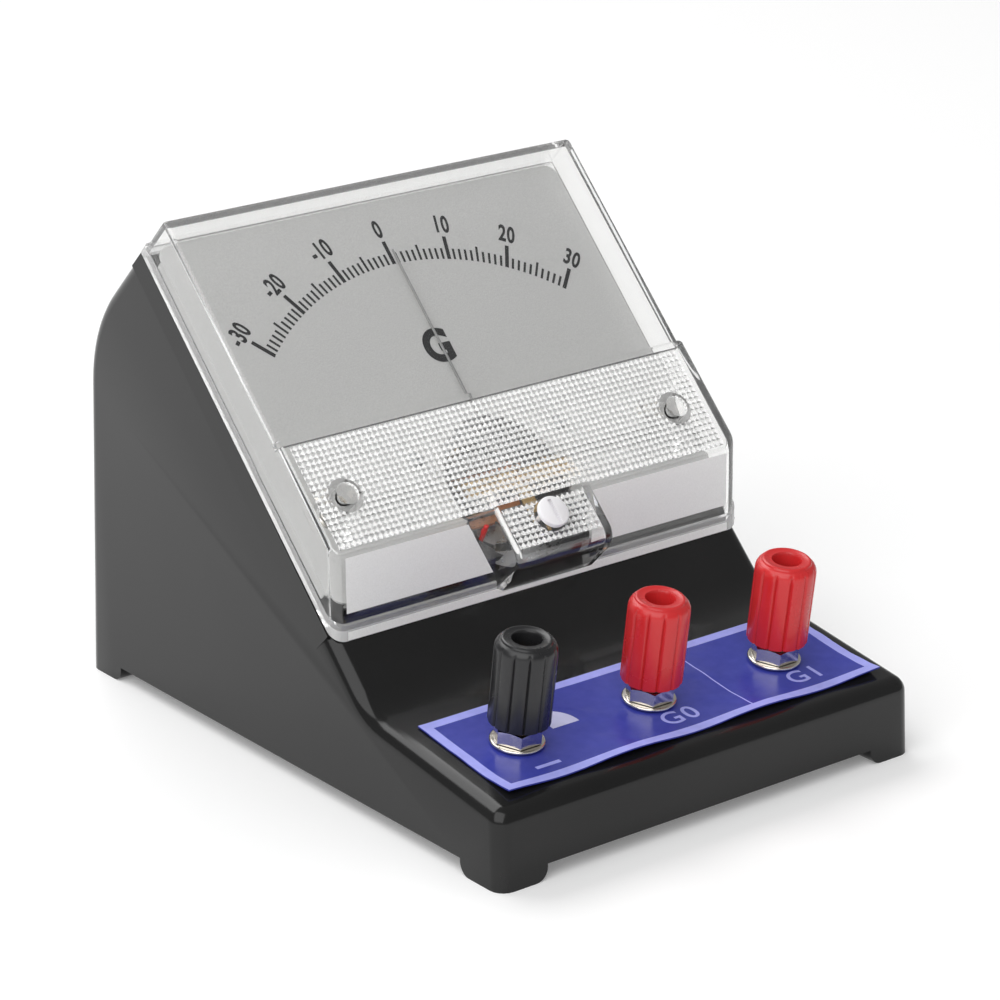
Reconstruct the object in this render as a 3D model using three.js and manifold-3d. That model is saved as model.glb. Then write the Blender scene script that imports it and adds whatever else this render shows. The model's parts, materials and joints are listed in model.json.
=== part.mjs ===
// Student galvanometer: a moving-coil meter under a clear cover on a sloped moulded case,
// with three binding posts on a shallow shelf in front. Millimetres, +Z up, +Y to the back.
import * as THREE from 'three';
import { mergeVertices } from 'three/addons/utils/BufferGeometryUtils.js';
import Module from 'manifold-3d';

const wasm = await Module();
wasm.setup();

// ---------------------------------------------------------------- driving dimensions
const GAP = 0.3;                     // clearance between pieces that rest on each other
const DEGREE = Math.PI / 180;

const CASE_WIDTH = 98;
const CASE_DEPTH = 134;
const CASE_WALL = 2.2;
const CASE_EDGE = 3;                 // radius of the case's long edges and corners
const SIDE_DRAFT = 0.0105;           // how far each side leans in, per unit of height
const FRONT_DRAFT = 0.04;
const BACK_DRAFT = 0.056;
const FOOT_HEIGHT = 3.1;
const FOOT_WIDTH = 10.6;
const FOOT_DEPTH = 11.6;
const FOOT_ROUNDING = 2.6;
const SEAT_PROUD = 0.06;             // the cover's seat stands this far out of the slope and sides
const CAVITY_FLOOR = -12;            // profiles run past the open bottom before it is cut

const SLOPE_ANGLE = 45.3 * DEGREE;   // instrument face, leaning back
const SLOPE_FOOT = { y: -17.6, z: 30.9 };
const SLOPE_TOP = { y: 43.0, z: 92.2 };
const BACK_CREST = { y: 63.1, z: 72.1, radius: 30 };
const SLOPE_HEEL_RADIUS = 14;        // hollow between the slope and the shelf

const SHELF_TILT = 8.6 * DEGREE;
const SHELF_LIP_RADIUS = 3.2;
const TERMINAL_X = -0.65;            // the row of terminals stands slightly off centre
const TERMINAL_Y = -48.95;
const TERMINAL_Z = 17.57;            // shelf height at the terminals
const TERMINAL_PITCH = 30.5;

const COVER_LENGTH = 85;             // along the slope
const COVER_TOP_RADIUS = 1;          // the cover's upper corners, seen from its front
const COVER_HALF_WIDTH = 48.15;
const COVER_WALL = 1.3;
const WINDOW_HEIGHT = 10.95;         // outer face above the slope
const BAND_HEIGHT = 12.14;           // raised lower band of the face
const BAND_START = 12.5;
const BAND_END = 36.7;
const RIM_HEIGHT = 2.4;              // slightly proud rim round the cover's foot
const RIM_PROUD = 0.35;
const BOSS_HALF_WIDTH = 11.3;        // housing of the zero adjuster
const BOSS_ROUNDING = 3.6;
const SCREW_X = 39;
const SCREW_S = 23.2;
const WELL_RADIUS = 3.5;
const WELL_BORE = 2.3;
const WELL_FLOOR = 6.5;
const ADJUSTER_S = 8.9;
const ADJUSTER_SHANK = 1.9;
const ADJUSTER_THROW = 1.2;          // the pin's distance from the adjuster's axis

const DIAL_FACE = 3.6;
const DIAL_THICKNESS = 0.6;
const DIAL_HALF_WIDTH = 46.5;
const DIAL_START = 6.1;
const DIAL_END = 83.3;
const DIAL_CORNER = 2.8;
const DIAL_FOLD = { low: 1.3, thickness: 0.4, inner: 12.6, overlap: 0.1 };  // lips along its edges
const DIAL_WINDOW_RADIUS = 13;
const DIAL_SCREW = { x: 17, s: 25.5 };
const BASE_SCREW = { x: 18.9, s: 10.5 };

const PIVOT_S = 17.7;                // pointer axis, along the slope
const POINTER_LENGTH = 54;
const POINTER_LEVEL = 4.9;
const CORE_RADIUS = 6;
const POLE_RADIUS = 7.8;
const MAGNET_TOP = -4.3;
const MAGNET_BOTTOM = -16.3;

const KNOB_RADIUS = 5.75;
const KNOB_HEIGHT = 16.7;
const KNOB_FLOOR = 5.1;              // above the shelf, part unscrewed
const KNOB_LOBES = 12;
const STUD_RADIUS = 1.9;

const FINE = 20;                     // sides of round pieces that show
const COARSE = 10;                   // sides of small holes and hidden pieces

// ---------------------------------------------------------------- solids and booleans
/** Makes a closed solid of a three.js geometry. */
function solid(geometry) {
  const bare = geometry.index ? geometry.toNonIndexed() : geometry.clone();
  bare.deleteAttribute('normal');
  bare.deleteAttribute('uv');
  const merged = mergeVertices(bare);
  const index = merged.index.array;
  const triangles = [];
  for (let i = 0; i < index.length; i += 3) {
    const [a, b, c] = [index[i], index[i + 1], index[i + 2]];
    if (a !== b && b !== c && c !== a) triangles.push(a, b, c);
  }
  return new wasm.Manifold(new wasm.Mesh({
    numProp: 3,
    vertProperties: new Float32Array(merged.attributes.position.array),
    triVerts: new Uint32Array(triangles),
  }));
}

const join = (first, ...rest) => rest.reduce((body, tool) => body.add(solid(tool)), first);
const cut = (first, ...rest) => rest.reduce((body, tool) => body.subtract(solid(tool)), first);

/** Turns a solid back into a geometry. */
function geometryOf(body) {
  const mesh = body.getMesh();
  const geometry = new THREE.BufferGeometry();
  geometry.setAttribute('position', new THREE.BufferAttribute(mesh.vertProperties, 3));
  geometry.setIndex(new THREE.BufferAttribute(mesh.triVerts, 1));
  geometry.computeVertexNormals();
  return geometry;
}

/** Closed outline with rounded corners, from rows of x, y and corner radius. */
function outline(corners) {
  const shape = new THREE.Shape();
  corners.forEach(([x, y, radius = 0], i) => {
    const corner = new THREE.Vector2(x, y);
    const back = new THREE.Vector2(...corners.at(i - 1)).sub(corner).normalize();
    const ahead = new THREE.Vector2(...corners[(i + 1) % corners.length]).sub(corner).normalize();
    const halfAngle = Math.acos(THREE.MathUtils.clamp(back.dot(ahead), -1, 1)) / 2;
    const start = corner.clone().addScaledVector(back, radius / Math.tan(halfAngle));
    if (i === 0) shape.moveTo(start.x, start.y);
    else shape.lineTo(start.x, start.y);
    if (radius === 0) return;
    const bisector = back.clone().add(ahead).normalize();
    const centre = corner.clone().addScaledVector(bisector, radius / Math.sin(halfAngle));
    const end = corner.clone().addScaledVector(ahead, radius / Math.tan(halfAngle));
    const clockwise = back.cross(ahead) > 0;
    shape.absarc(centre.x, centre.y, radius, start.sub(centre).angle(), end.sub(centre).angle(), clockwise);
  });
  shape.closePath();
  return shape;
}

/** Moves every edge of a counter-clockwise outline inwards by a distance. */
function inset(corners, distance) {
  const edge = (i) => {
    const start = new THREE.Vector2(...corners.at(i));
    const next = corners[(i + 1) % corners.length];
    const along = new THREE.Vector2(...next).sub(start).normalize();
    const inward = new THREE.Vector2(-along.y, along.x);
    return { start: start.addScaledVector(inward, distance), along };
  };
  return corners.map(([, , radius = 0], i) => {
    const before = edge(i - 1);
    const after = edge(i);
    const between = after.start.clone().sub(before.start);
    const turn = before.along.cross(after.along);
    const reach = between.cross(after.along) / turn;
    const corner = before.start.clone().addScaledVector(before.along, reach);
    const rounding = turn > 0 ? Math.max(radius - distance, 0) : radius + distance;
    return [corner.x, corner.y, radius === 0 ? 0 : rounding];
  });
}

/** Plate between two heights, along local Z. */
function slab(shape, low, high, curveSegments = 6) {
  const settings = { depth: high - low, bevelEnabled: false, curveSegments };
  return new THREE.ExtrudeGeometry(shape, settings).translate(0, 0, low);
}

/** Bar whose outline stands in the YZ plane, centred across X, with rounded ends if asked. */
function beam(shape, halfWidth, rounding = 0, curveSegments = 6) {
  const geometry = new THREE.ExtrudeGeometry(shape, {
    depth: 2 * (halfWidth - rounding),
    bevelEnabled: rounding > 0,
    bevelThickness: rounding,
    bevelSize: rounding,
    bevelOffset: -rounding,
    bevelSegments: 3,
    curveSegments,
  });
  geometry.translate(0, 0, rounding - halfWidth);
  const toSide = new THREE.Matrix4().makeBasis(
    new THREE.Vector3(0, 1, 0), new THREE.Vector3(0, 0, 1), new THREE.Vector3(1, 0, 0));
  return geometry.applyMatrix4(toSide);
}

/** Upright round rod. */
function rod(radius, low, high, x = 0, y = 0, sides = FINE) {
  const geometry = new THREE.CylinderGeometry(radius, radius, high - low, sides);
  return geometry.rotateX(Math.PI / 2).translate(x, y, (low + high) / 2);
}

/** Upright turned piece, from rows of radius and height. */
function turned(rows, sides = FINE) {
  const profile = rows.map(([radius, height]) => new THREE.Vector2(radius, height));
  return new THREE.LatheGeometry(profile, sides).rotateX(Math.PI / 2);
}

/** Box from its lowest and highest corners. */
function block(low, high) {
  const size = high.map((value, i) => value - low[i]);
  const geometry = new THREE.BoxGeometry(...size);
  return geometry.translate(...low.map((value, i) => value + size[i] / 2));
}

/** Outline of a rectangle between two corners, with rounded corners if asked. */
function rectangle(x0, y0, x1, y1, radius = 0) {
  const corners = [[x0, y0], [x1, y0], [x1, y1], [x0, y1]];
  return outline(corners.map((corner) => [...corner, radius]));
}

/** Regular hexagon from its size across flats. */
function hexagon(acrossFlats) {
  const radius = acrossFlats / Math.sqrt(3);
  const corner = (i) => [radius * Math.cos(i * Math.PI / 3), radius * Math.sin(i * Math.PI / 3)];
  return outline([0, 1, 2, 3, 4, 5].map(corner));
}

// ---------------------------------------------------------------- frames and assembly
const group = new THREE.Group();

const slope = new THREE.Group();     // local X across, Y up the slope, Z out of it
slope.position.set(0, SLOPE_FOOT.y, SLOPE_FOOT.z);
slope.rotation.x = SLOPE_ANGLE;
slope.updateMatrix();
group.add(slope);

const movement = new THREE.Group();  // the same directions, with its origin on the pointer's axis
movement.position.set(0, PIVOT_S, 0);
slope.add(movement);

const posts = [-1, 0, 1].map((place) => {
  const post = new THREE.Group();    // local Z out of the shelf
  post.position.set(TERMINAL_X + place * TERMINAL_PITCH, TERMINAL_Y, TERMINAL_Z);
  post.rotation.x = SHELF_TILT;
  post.updateMatrix();
  group.add(post);
  return post;
});

const BLACK = { color: 0x161617, roughness: 0.25, metalness: 0 };
const RED = { color: 0xc81e24, roughness: 0.35, metalness: 0 };
const CLEAR = { color: 0xe6ecee, roughness: 0.05, metalness: 0, transparent: true, opacity: 0.35 };
const NICKEL = { color: 0xc9c3b4, roughness: 0.25, metalness: 1 };
const BRASS = { color: 0xc79a45, roughness: 0.3, metalness: 1 };
const STEEL = { color: 0x9a9c9f, roughness: 0.35, metalness: 1 };
const SILVER = { color: 0xb9baba, roughness: 0.5, metalness: 0.6 };
const COPPER = { color: 0xb5642f, roughness: 0.4, metalness: 1 };
const WHITE = { color: 0xf4f4f2, roughness: 0.4, metalness: 0 };
const BLUE = { color: 0x3b40a6, roughness: 0.3, metalness: 0 };
const TAN = { color: 0xc9ab7c, roughness: 0.5, metalness: 0 };

function part(name, body, finish, parent = group) {
  const mesh = new THREE.Mesh(geometryOf(body), new THREE.MeshStandardMaterial(finish));
  mesh.name = name;
  parent.add(mesh);
}

// ---------------------------------------------------------------- case
/** Side view of the case, counter-clockwise in Y and Z. */
function caseProfile() {
  const half = CASE_DEPTH / 2;
  const shelfZ = (y) => TERMINAL_Z + (y - TERMINAL_Y) * Math.tan(SHELF_TILT);
  const frontY = (z) => -half + FRONT_DRAFT * z;
  const backY = (z) => half - BACK_DRAFT * z;
  const lipY = frontY(16);
  const slopeRise = Math.tan(SLOPE_ANGLE) - Math.tan(SHELF_TILT);
  const heelY = SLOPE_FOOT.y - (SLOPE_FOOT.z - shelfZ(SLOPE_FOOT.y)) / slopeRise;
  return [
    [backY(CAVITY_FLOOR), CAVITY_FLOOR],
    [BACK_CREST.y, BACK_CREST.z, BACK_CREST.radius],
    [SLOPE_TOP.y, SLOPE_TOP.z],
    [heelY, shelfZ(heelY), SLOPE_HEEL_RADIUS],
    [lipY, shelfZ(lipY), SHELF_LIP_RADIUS],
    [frontY(CAVITY_FLOOR), CAVITY_FLOOR],
  ];
}

/** Leans both sides of a geometry inwards with height. */
function draftSides(geometry) {
  const place = geometry.getAttribute('position');
  for (let i = 0; i < place.count; i += 1) {
    place.setX(i, place.getX(i) * (1 - SIDE_DRAFT * place.getZ(i) / (CASE_WIDTH / 2)));
  }
  return geometry;
}

/** Cutter that clears the underside between two feet and below the ground, seen along it. */
function footChannel(halfOpening, halfSpan) {
  return outline([
    [-halfSpan, 2 * CAVITY_FLOOR], [halfSpan, 2 * CAVITY_FLOOR], [halfSpan, 0],
    [halfOpening, 0, FOOT_ROUNDING], [halfOpening, FOOT_HEIGHT],
    [-halfOpening, FOOT_HEIGHT], [-halfOpening, 0, FOOT_ROUNDING], [-halfSpan, 0]]);
}

const BOTTOM_SCREW = { x: 30, y: 59.5, top: 13, hole: 13.6 };
const BOTTOM_SCREWS = [[-1, -1], [1, -1], [-1, 1], [1, 1]]
  .map(([x, y]) => [x * BOTTOM_SCREW.x, y * BOTTOM_SCREW.y]);
const COVER_PLATE = { low: 3.9, high: 5.5 };

/** Posts and bosses inside the case, before they are trimmed to end inside its walls. */
function caseBosses() {
  const half = { x: CASE_WIDTH / 2, y: CASE_DEPTH / 2 };
  const pieces = [];
  for (const side of [-1, 1]) {
    for (const end of [-1, 1]) {
      const near = [side * (half.x - FOOT_WIDTH), end * (half.y - FOOT_DEPTH)];
      const far = [side * (half.x + 3), end * (half.y + 3)];
      const low = [0, 1].map((axis) => Math.min(near[axis], far[axis]));
      const high = [0, 1].map((axis) => Math.max(near[axis], far[axis]));
      pieces.push(block([...low, CAVITY_FLOOR], [...high, 15]));
    }
    pieces.push(rod(3.6, -11, -1, side * SCREW_X, SCREW_S, COARSE).applyMatrix4(slope.matrix));
    pieces.push(rod(2.6, -6, -1, side * BASE_SCREW.x, BASE_SCREW.s, COARSE).applyMatrix4(slope.matrix));
  }
  for (const [x, y] of BOTTOM_SCREWS) {
    const outerY = Math.sign(y) * (half.y + 3);
    const innerY = y - Math.sign(y) * 4;
    pieces.push(block(
      [x - 3.6, Math.min(innerY, outerY), COVER_PLATE.high + GAP],
      [x + 3.6, Math.max(innerY, outerY), 16]));
  }
  return pieces.slice(1).reduce((body, piece) => body.add(solid(piece)), solid(pieces[0]));
}

function caseShell() {
  const profile = caseProfile();
  const outer = solid(draftSides(beam(outline(profile), CASE_WIDTH / 2, CASE_EDGE, 6)));
  const along = (s, n) => [
    SLOPE_FOOT.y + s * Math.cos(SLOPE_ANGLE) - n * Math.sin(SLOPE_ANGLE),
    SLOPE_FOOT.z + s * Math.sin(SLOPE_ANGLE) + n * Math.cos(SLOPE_ANGLE)];
  const seat = outline([
    along(2, SEAT_PROUD), along(2, -5), along(COVER_LENGTH, -5), along(COVER_LENGTH, SEAT_PROUD)]);
  const body = outer.add(solid(draftSides(beam(seat, CASE_WIDTH / 2 + SEAT_PROUD))));
  const shrunk = (depth) => draftSides(beam(outline(inset(profile, depth)), CASE_WIDTH / 2 - depth, 0, 4));
  const bosses = caseBosses().intersect(solid(shrunk(CASE_WALL / 2)));
  const shell = cut(body, shrunk(CASE_WALL)).add(bosses);

  const tools = [
    beam(footChannel(CASE_DEPTH / 2 - FOOT_DEPTH, CASE_DEPTH), CASE_WIDTH),
    slab(footChannel(CASE_WIDTH / 2 - FOOT_WIDTH, CASE_WIDTH), -CASE_DEPTH, CASE_DEPTH).rotateX(Math.PI / 2),
    rod(DIAL_WINDOW_RADIUS + GAP, -9, 5, 0, PIVOT_S, 32).applyMatrix4(slope.matrix),
  ];
  for (const side of [-1, 1]) {
    tools.push(rod(1.6, -10, 5, side * SCREW_X, SCREW_S, COARSE).applyMatrix4(slope.matrix));
    tools.push(rod(1.4, -5, 5, side * BASE_SCREW.x, BASE_SCREW.s, COARSE).applyMatrix4(slope.matrix));
  }
  for (const post of posts) tools.push(rod(STUD_RADIUS + GAP, -8, 5).applyMatrix4(post.matrix));
  for (const [x, y] of BOTTOM_SCREWS) tools.push(rod(1.6, 0, BOTTOM_SCREW.hole, x, y, COARSE));
  return cut(shell, ...tools);
}

function bottomCover() {
  const [x, y] = [46.3, 64.1];
  const notch = [CASE_WIDTH / 2 - FOOT_WIDTH - 0.4, CASE_DEPTH / 2 - FOOT_DEPTH - 0.4];
  const quarter = [[x, notch[1]], [notch[0], notch[1]], [notch[0], y]];
  const corners = [
    ...quarter,
    ...quarter.map(([a, b]) => [-a, b]).reverse(),
    ...quarter.map(([a, b]) => [-a, -b]),
    ...quarter.map(([a, b]) => [a, -b]).reverse()];
  const plate = solid(slab(outline(corners), COVER_PLATE.low, COVER_PLATE.high));
  return cut(plate, ...BOTTOM_SCREWS.map(([a, b]) => rod(1.7, 0, 9, a, b, COARSE)));
}

/** Pan-head screw along Z with a cross recess, its head between two heights. */
function screw(headRadius, shankRadius, tip, headLow, headHigh) {
  const crown = headHigh - 0.3 * headRadius;
  const body = solid(turned([
    [0, tip], [shankRadius, tip], [shankRadius, headLow], [headRadius, headLow],
    [headRadius, crown], [0.7 * headRadius, headHigh], [0, headHigh]], COARSE));
  const [reach, half, depth] = [0.62 * headRadius, 0.13 * headRadius, 0.35 * headRadius];
  return cut(
    body,
    block([-reach, -half, headHigh - depth], [reach, half, headHigh + 1]),
    block([-half, -reach, headHigh - depth], [half, reach, headHigh + 1]));
}

const moved = (body, x, y, z = 0) => body.translate([x, y, z]);

part('body_shell', caseShell(), BLACK);
part('bottom_cover', bottomCover(), BLACK);
BOTTOM_SCREWS.forEach(([x, y], i) => {
  const upward = screw(2.7, 1.3, -BOTTOM_SCREW.top, -3.6, -2).rotate([180, 0, 0]);
  part(`bottom_screw_${i + 1}`, moved(upward, x, y), STEEL);
});

// ---------------------------------------------------------------- clear cover
/** Side view of the cover along the slope, as rows of S, N and radius. */
const COVER_PROFILE = [
  [0.2, 0], [COVER_LENGTH, 0], [COVER_LENGTH, WINDOW_HEIGHT],
  [BAND_END + 0.2, WINDOW_HEIGHT], [BAND_END, BAND_HEIGHT], [BAND_START, BAND_HEIGHT]];

function meterCover() {
  const rimEnd = COVER_LENGTH + RIM_PROUD;
  const foot = [[-0.1, 0], [rimEnd, 0], [rimEnd, RIM_HEIGHT], [RIM_HEIGHT, RIM_HEIGHT]];
  const inside = inset(COVER_PROFILE, COVER_WALL);
  inside[0] = [inside[0][0] - 2 * COVER_WALL, -COVER_WALL];
  inside[1] = [inside[1][0], -COVER_WALL];
  const bossOutside = [
    [0.4, 0], [BAND_START + 4, 0], [BAND_START + 4, BAND_HEIGHT], [0.4, BAND_HEIGHT, BOSS_ROUNDING]];
  const bossInside = inset(bossOutside, COVER_WALL);
  bossInside[0][1] = -COVER_WALL;
  bossInside[1][1] = -COVER_WALL;

  const shell = join(
    solid(beam(outline(COVER_PROFILE), COVER_HALF_WIDTH, 0.8)),
    beam(outline(foot), COVER_HALF_WIDTH + RIM_PROUD),
    beam(outline(bossOutside), BOSS_HALF_WIDTH, 0.8));
  const hollow = join(
    solid(beam(outline(inside), COVER_HALF_WIDTH - COVER_WALL)),
    beam(outline(bossInside), BOSS_HALF_WIDTH - COVER_WALL));
  const rounded = outline([
    [-COVER_HALF_WIDTH - 1, -30], [COVER_HALF_WIDTH + 1, -30],
    [COVER_HALF_WIDTH + RIM_PROUD, rimEnd, COVER_TOP_RADIUS],
    [-COVER_HALF_WIDTH - RIM_PROUD, rimEnd, COVER_TOP_RADIUS]]);
  const empty = shell.subtract(hollow).intersect(solid(slab(rounded, -5, 20)));

  const wells = [-1, 1].map((side) => side * SCREW_X);
  const wellFoot = DIAL_FACE + GAP;
  const stood = join(empty, ...wells.map((x) => rod(WELL_RADIUS, wellFoot, BAND_HEIGHT, x, SCREW_S)));
  return cut(
    stood,
    ...wells.map((x) => rod(WELL_BORE, WELL_FLOOR, 20, x, SCREW_S)),
    ...wells.map((x) => rod(1.6, -5, 20, x, SCREW_S)),
    rod(ADJUSTER_SHANK + GAP, 5, 20, 0, ADJUSTER_S),
    block([-60, -30, -5], [60, 120, GAP]));
}

/** White slotted disc whose pin stands off its axis and steers the zero lever. */
function zeroAdjuster() {
  const [headLow, headHigh] = [BAND_HEIGHT + GAP, BAND_HEIGHT + 1.3];
  const disc = solid(turned([
    [0, 10.4], [ADJUSTER_SHANK, 10.4], [ADJUSTER_SHANK, headLow], [3.15, headLow],
    [3.15, headHigh - 0.3], [2.8, headHigh], [0, headHigh]]));
  const pinned = join(disc, rod(0.5, 6.6, 10.6, 0, ADJUSTER_THROW, COARSE));
  return cut(pinned, block([-0.35, -2.3, headHigh - 0.5], [0.35, 2.3, headHigh + 1]));
}

part('meter_cover', meterCover(), CLEAR, slope);
for (const [name, side] of [['left', -1], ['right', 1]]) {
  const fastener = screw(2, 1.3, -9, WELL_FLOOR + GAP, WELL_FLOOR + 1.7);
  part(`cover_screw_${name}`, moved(fastener, side * SCREW_X, SCREW_S), NICKEL, slope);
}
part('zero_adjuster', moved(zeroAdjuster(), 0, ADJUSTER_S), WHITE, slope);

// ---------------------------------------------------------------- dial and movement base
/** Plate with its lower edge and sides folded down, cut away round the movement. */
function dialPlate() {
  const low = DIAL_FACE - DIAL_THICKNESS;
  const edge = rectangle(-DIAL_HALF_WIDTH, DIAL_START, DIAL_HALF_WIDTH, DIAL_END, DIAL_CORNER);
  const inner = DIAL_HALF_WIDTH - DIAL_FOLD.thickness;
  const [foldStart, foldEnd] = [DIAL_START + DIAL_CORNER, DIAL_END - DIAL_CORNER];
  const corner = DIAL_HALF_WIDTH - DIAL_CORNER;
  const foldTop = low + DIAL_FOLD.overlap;
  const folds = [-1, 1].flatMap((side) => {
    const [near, far] = [side * inner, side * DIAL_HALF_WIDTH].sort((a, b) => a - b);
    const [left, right] = [side * DIAL_FOLD.inner, side * corner].sort((a, b) => a - b);
    return [
      block([near, foldStart, DIAL_FOLD.low], [far, foldEnd, foldTop]),
      block([left, DIAL_START, DIAL_FOLD.low], [right, DIAL_START + DIAL_FOLD.thickness, foldTop])];
  });
  const plate = join(solid(slab(edge, low, DIAL_FACE)), ...folds);
  const holes = [-1, 1].flatMap((side) => [
    rod(1.9, 0, 9, side * SCREW_X, SCREW_S, COARSE),
    rod(1.2, 0, 9, side * DIAL_SCREW.x, DIAL_SCREW.s, COARSE)]);
  return cut(
    plate,
    rod(DIAL_WINDOW_RADIUS, 0, 9, 0, PIVOT_S, 32),
    block([-12.2, -5, 0], [12.2, PIVOT_S - 4, 9]),
    ...holes);
}

/** Moulded plate that holds the magnet, the front bridge and the dial. */
function movementBase() {
  const plateTop = DIAL_FACE - DIAL_THICKNESS - GAP;
  const plate = solid(slab(rectangle(-22, 6.9, 22, 31.2, 2), GAP, plateTop));
  const arms = [-1, 1].map((side) => block(
    [Math.min(side * 10.4, side * 12.4), PIVOT_S - 3.5, MAGNET_TOP + GAP],
    [Math.max(side * 10.4, side * 12.4), PIVOT_S + 3.5, 1.5]));
  const ring = cut(plate, rod(DIAL_WINDOW_RADIUS - 0.4, -5, 9, 0, PIVOT_S, 32));
  return cut(
    join(ring, ...arms),
    ...[-1, 1].flatMap((side) => [
      rod(1.4, -5, 9, side * BASE_SCREW.x, BASE_SCREW.s, COARSE),
      rod(2.5, 1.3, 9, side * BASE_SCREW.x, BASE_SCREW.s, COARSE),
      rod(1.2, 0.8, 9, side * DIAL_SCREW.x, DIAL_SCREW.s, COARSE)]));
}

part('dial_plate', dialPlate(), SILVER, slope);
part('movement_base', movementBase(), BLACK, slope);
for (const [name, side] of [['left', -1], ['right', 1]]) {
  const dialScrew = screw(1.6, 0.9, 1, DIAL_FACE + 0.1, DIAL_FACE + 1);
  part(`dial_screw_${name}`, moved(dialScrew, side * DIAL_SCREW.x, DIAL_SCREW.s), STEEL, slope);
  const baseScrew = screw(2.2, 1.1, -4.7, 1.6, 2.6);
  part(`base_screw_${name}`, moved(baseScrew, side * BASE_SCREW.x, BASE_SCREW.s), STEEL, slope);
}

// ---------------------------------------------------------------- moving-coil movement
const COIL = { half: 1.6, inner: 6.35, former: 6.75, outer: 7.4 };
const COIL_TOP = -3.0;
const COIL_BOTTOM = -17.7;
const HOLDER = { half: 2, low: -10.8, high: -9.8 };
const BRIDGE = { low: 7.7, high: 8.7, legEnd: 3, half: 2, reach: 11.4, legInner: 9.8 };
const REAR_BRIDGE = {
  low: -21.5, high: -20.5, legEnd: MAGNET_BOTTOM - GAP, half: 3, reach: 14.5, legInner: 12 };
const LEVER = { low: 6.9, high: 7.3 };

function magnetYoke() {
  const blank = solid(slab(rectangle(-15.5, -13.3, 15.5, 13.3, 3), MAGNET_BOTTOM, MAGNET_TOP));
  return cut(blank, rod(POLE_RADIUS, -30, 9, 0, 0, 36));
}

function magnetCore() {
  const core = solid(rod(CORE_RADIUS, MAGNET_BOTTOM + 0.4, MAGNET_TOP - 0.4, 0, 0, 24));
  return cut(core, block(
    [-HOLDER.half - GAP, -9, HOLDER.low - GAP], [HOLDER.half + GAP, 9, HOLDER.high + GAP]));
}

/** Square frame around the core, in the plane of the axis, between two half widths. */
function coilFrame(inner, outer, top, bottom, thickness) {
  const blank = solid(block([-outer, -COIL.half, bottom], [outer, COIL.half, top]));
  return cut(blank, block([-inner, -9, bottom + thickness], [inner, 9, top - thickness]));
}

/** Flat bridge across the axis, on two legs. */
function bridge({ low, high, legEnd, legInner, reach, half }) {
  const strap = solid(block([-reach, -half, low], [reach, half, high]));
  const legs = [-1, 1].map((side) => block(
    [Math.min(side * legInner, side * reach), -half, Math.min(legEnd, low)],
    [Math.max(side * legInner, side * reach), half, Math.max(legEnd, high)]));
  return cut(join(strap, ...legs), rod(1.5, -40, 20, 0, 0, COARSE));
}

/** Slotted bearing screw with its jewel cup at the end that meets the pivot. */
function jewelScrew(jewelEnd, slotEnd) {
  const [low, high] = [Math.min(jewelEnd, slotEnd), Math.max(jewelEnd, slotEnd)];
  const body = solid(rod(1.2, low, high, 0, 0, COARSE));
  const slotDepth = slotEnd > jewelEnd ? [slotEnd - 0.5, slotEnd + 1] : [slotEnd - 1, slotEnd + 0.5];
  const cupDepth = slotEnd > jewelEnd ? [jewelEnd - 1, jewelEnd + 0.7] : [jewelEnd - 0.7, jewelEnd + 1];
  return cut(
    body,
    block([-2, -0.2, slotDepth[0]], [2, 0.2, slotDepth[1]]),
    rod(0.7, cupDepth[0], cupDepth[1], 0, 0, COARSE));
}

/** Needle with its hub ring and tail, pointing up the slope. */
function pointer() {
  const needle = new THREE.Shape();
  needle.moveTo(-0.2, 1);
  needle.lineTo(-0.45, -7);
  needle.lineTo(0.45, -7);
  needle.lineTo(0.2, 1);
  needle.lineTo(0.13, POINTER_LENGTH);
  needle.lineTo(-0.13, POINTER_LENGTH);
  const [low, high] = [POINTER_LEVEL, POINTER_LEVEL + 0.4];
  const body = join(solid(slab(needle, low, high)), rod(1.8, low, high, 0, 0, FINE));
  return cut(body, rod(0.8, 0, 9, 0, 0, COARSE));
}

/** Flat spiral spring round the axis. */
function hairspring(low, high) {
  const [inner, outer, turns, steps, width] = [1.2, 3.5, 2.5, 34, 0.14];
  const at = (i, offset) => {
    const angle = (i / steps) * turns * 2 * Math.PI;
    const radius = inner + (outer - inner) * (i / steps) + offset;
    return new THREE.Vector2(radius * Math.cos(angle), radius * Math.sin(angle));
  };
  const path = [];
  for (let i = 0; i <= steps; i += 1) path.push(at(i, width));
  for (let i = steps; i >= 0; i -= 1) path.push(at(i, -width));
  return solid(slab(new THREE.Shape(path), low, high));
}

/** Ring round the pivot with the fork that the adjuster's pin moves and the spring's anchor. */
function zeroLever() {
  const ring = solid(rod(2.2, LEVER.low, LEVER.high));
  const arm = block([-1.5, -10.4, LEVER.low], [1.5, -1, LEVER.high]);
  const anchor = block([-4.9, -0.4, LEVER.low], [-1, 0.4, LEVER.high]);
  const stop = block([-4.9, -0.4, 5.9], [-4.1, 0.4, LEVER.high]);
  return cut(
    join(ring, arm, anchor, stop),
    rod(1, 0, 20, 0, 0, COARSE),
    block([-0.85, -11, 0], [0.85, -6.2, 20]));
}

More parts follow.
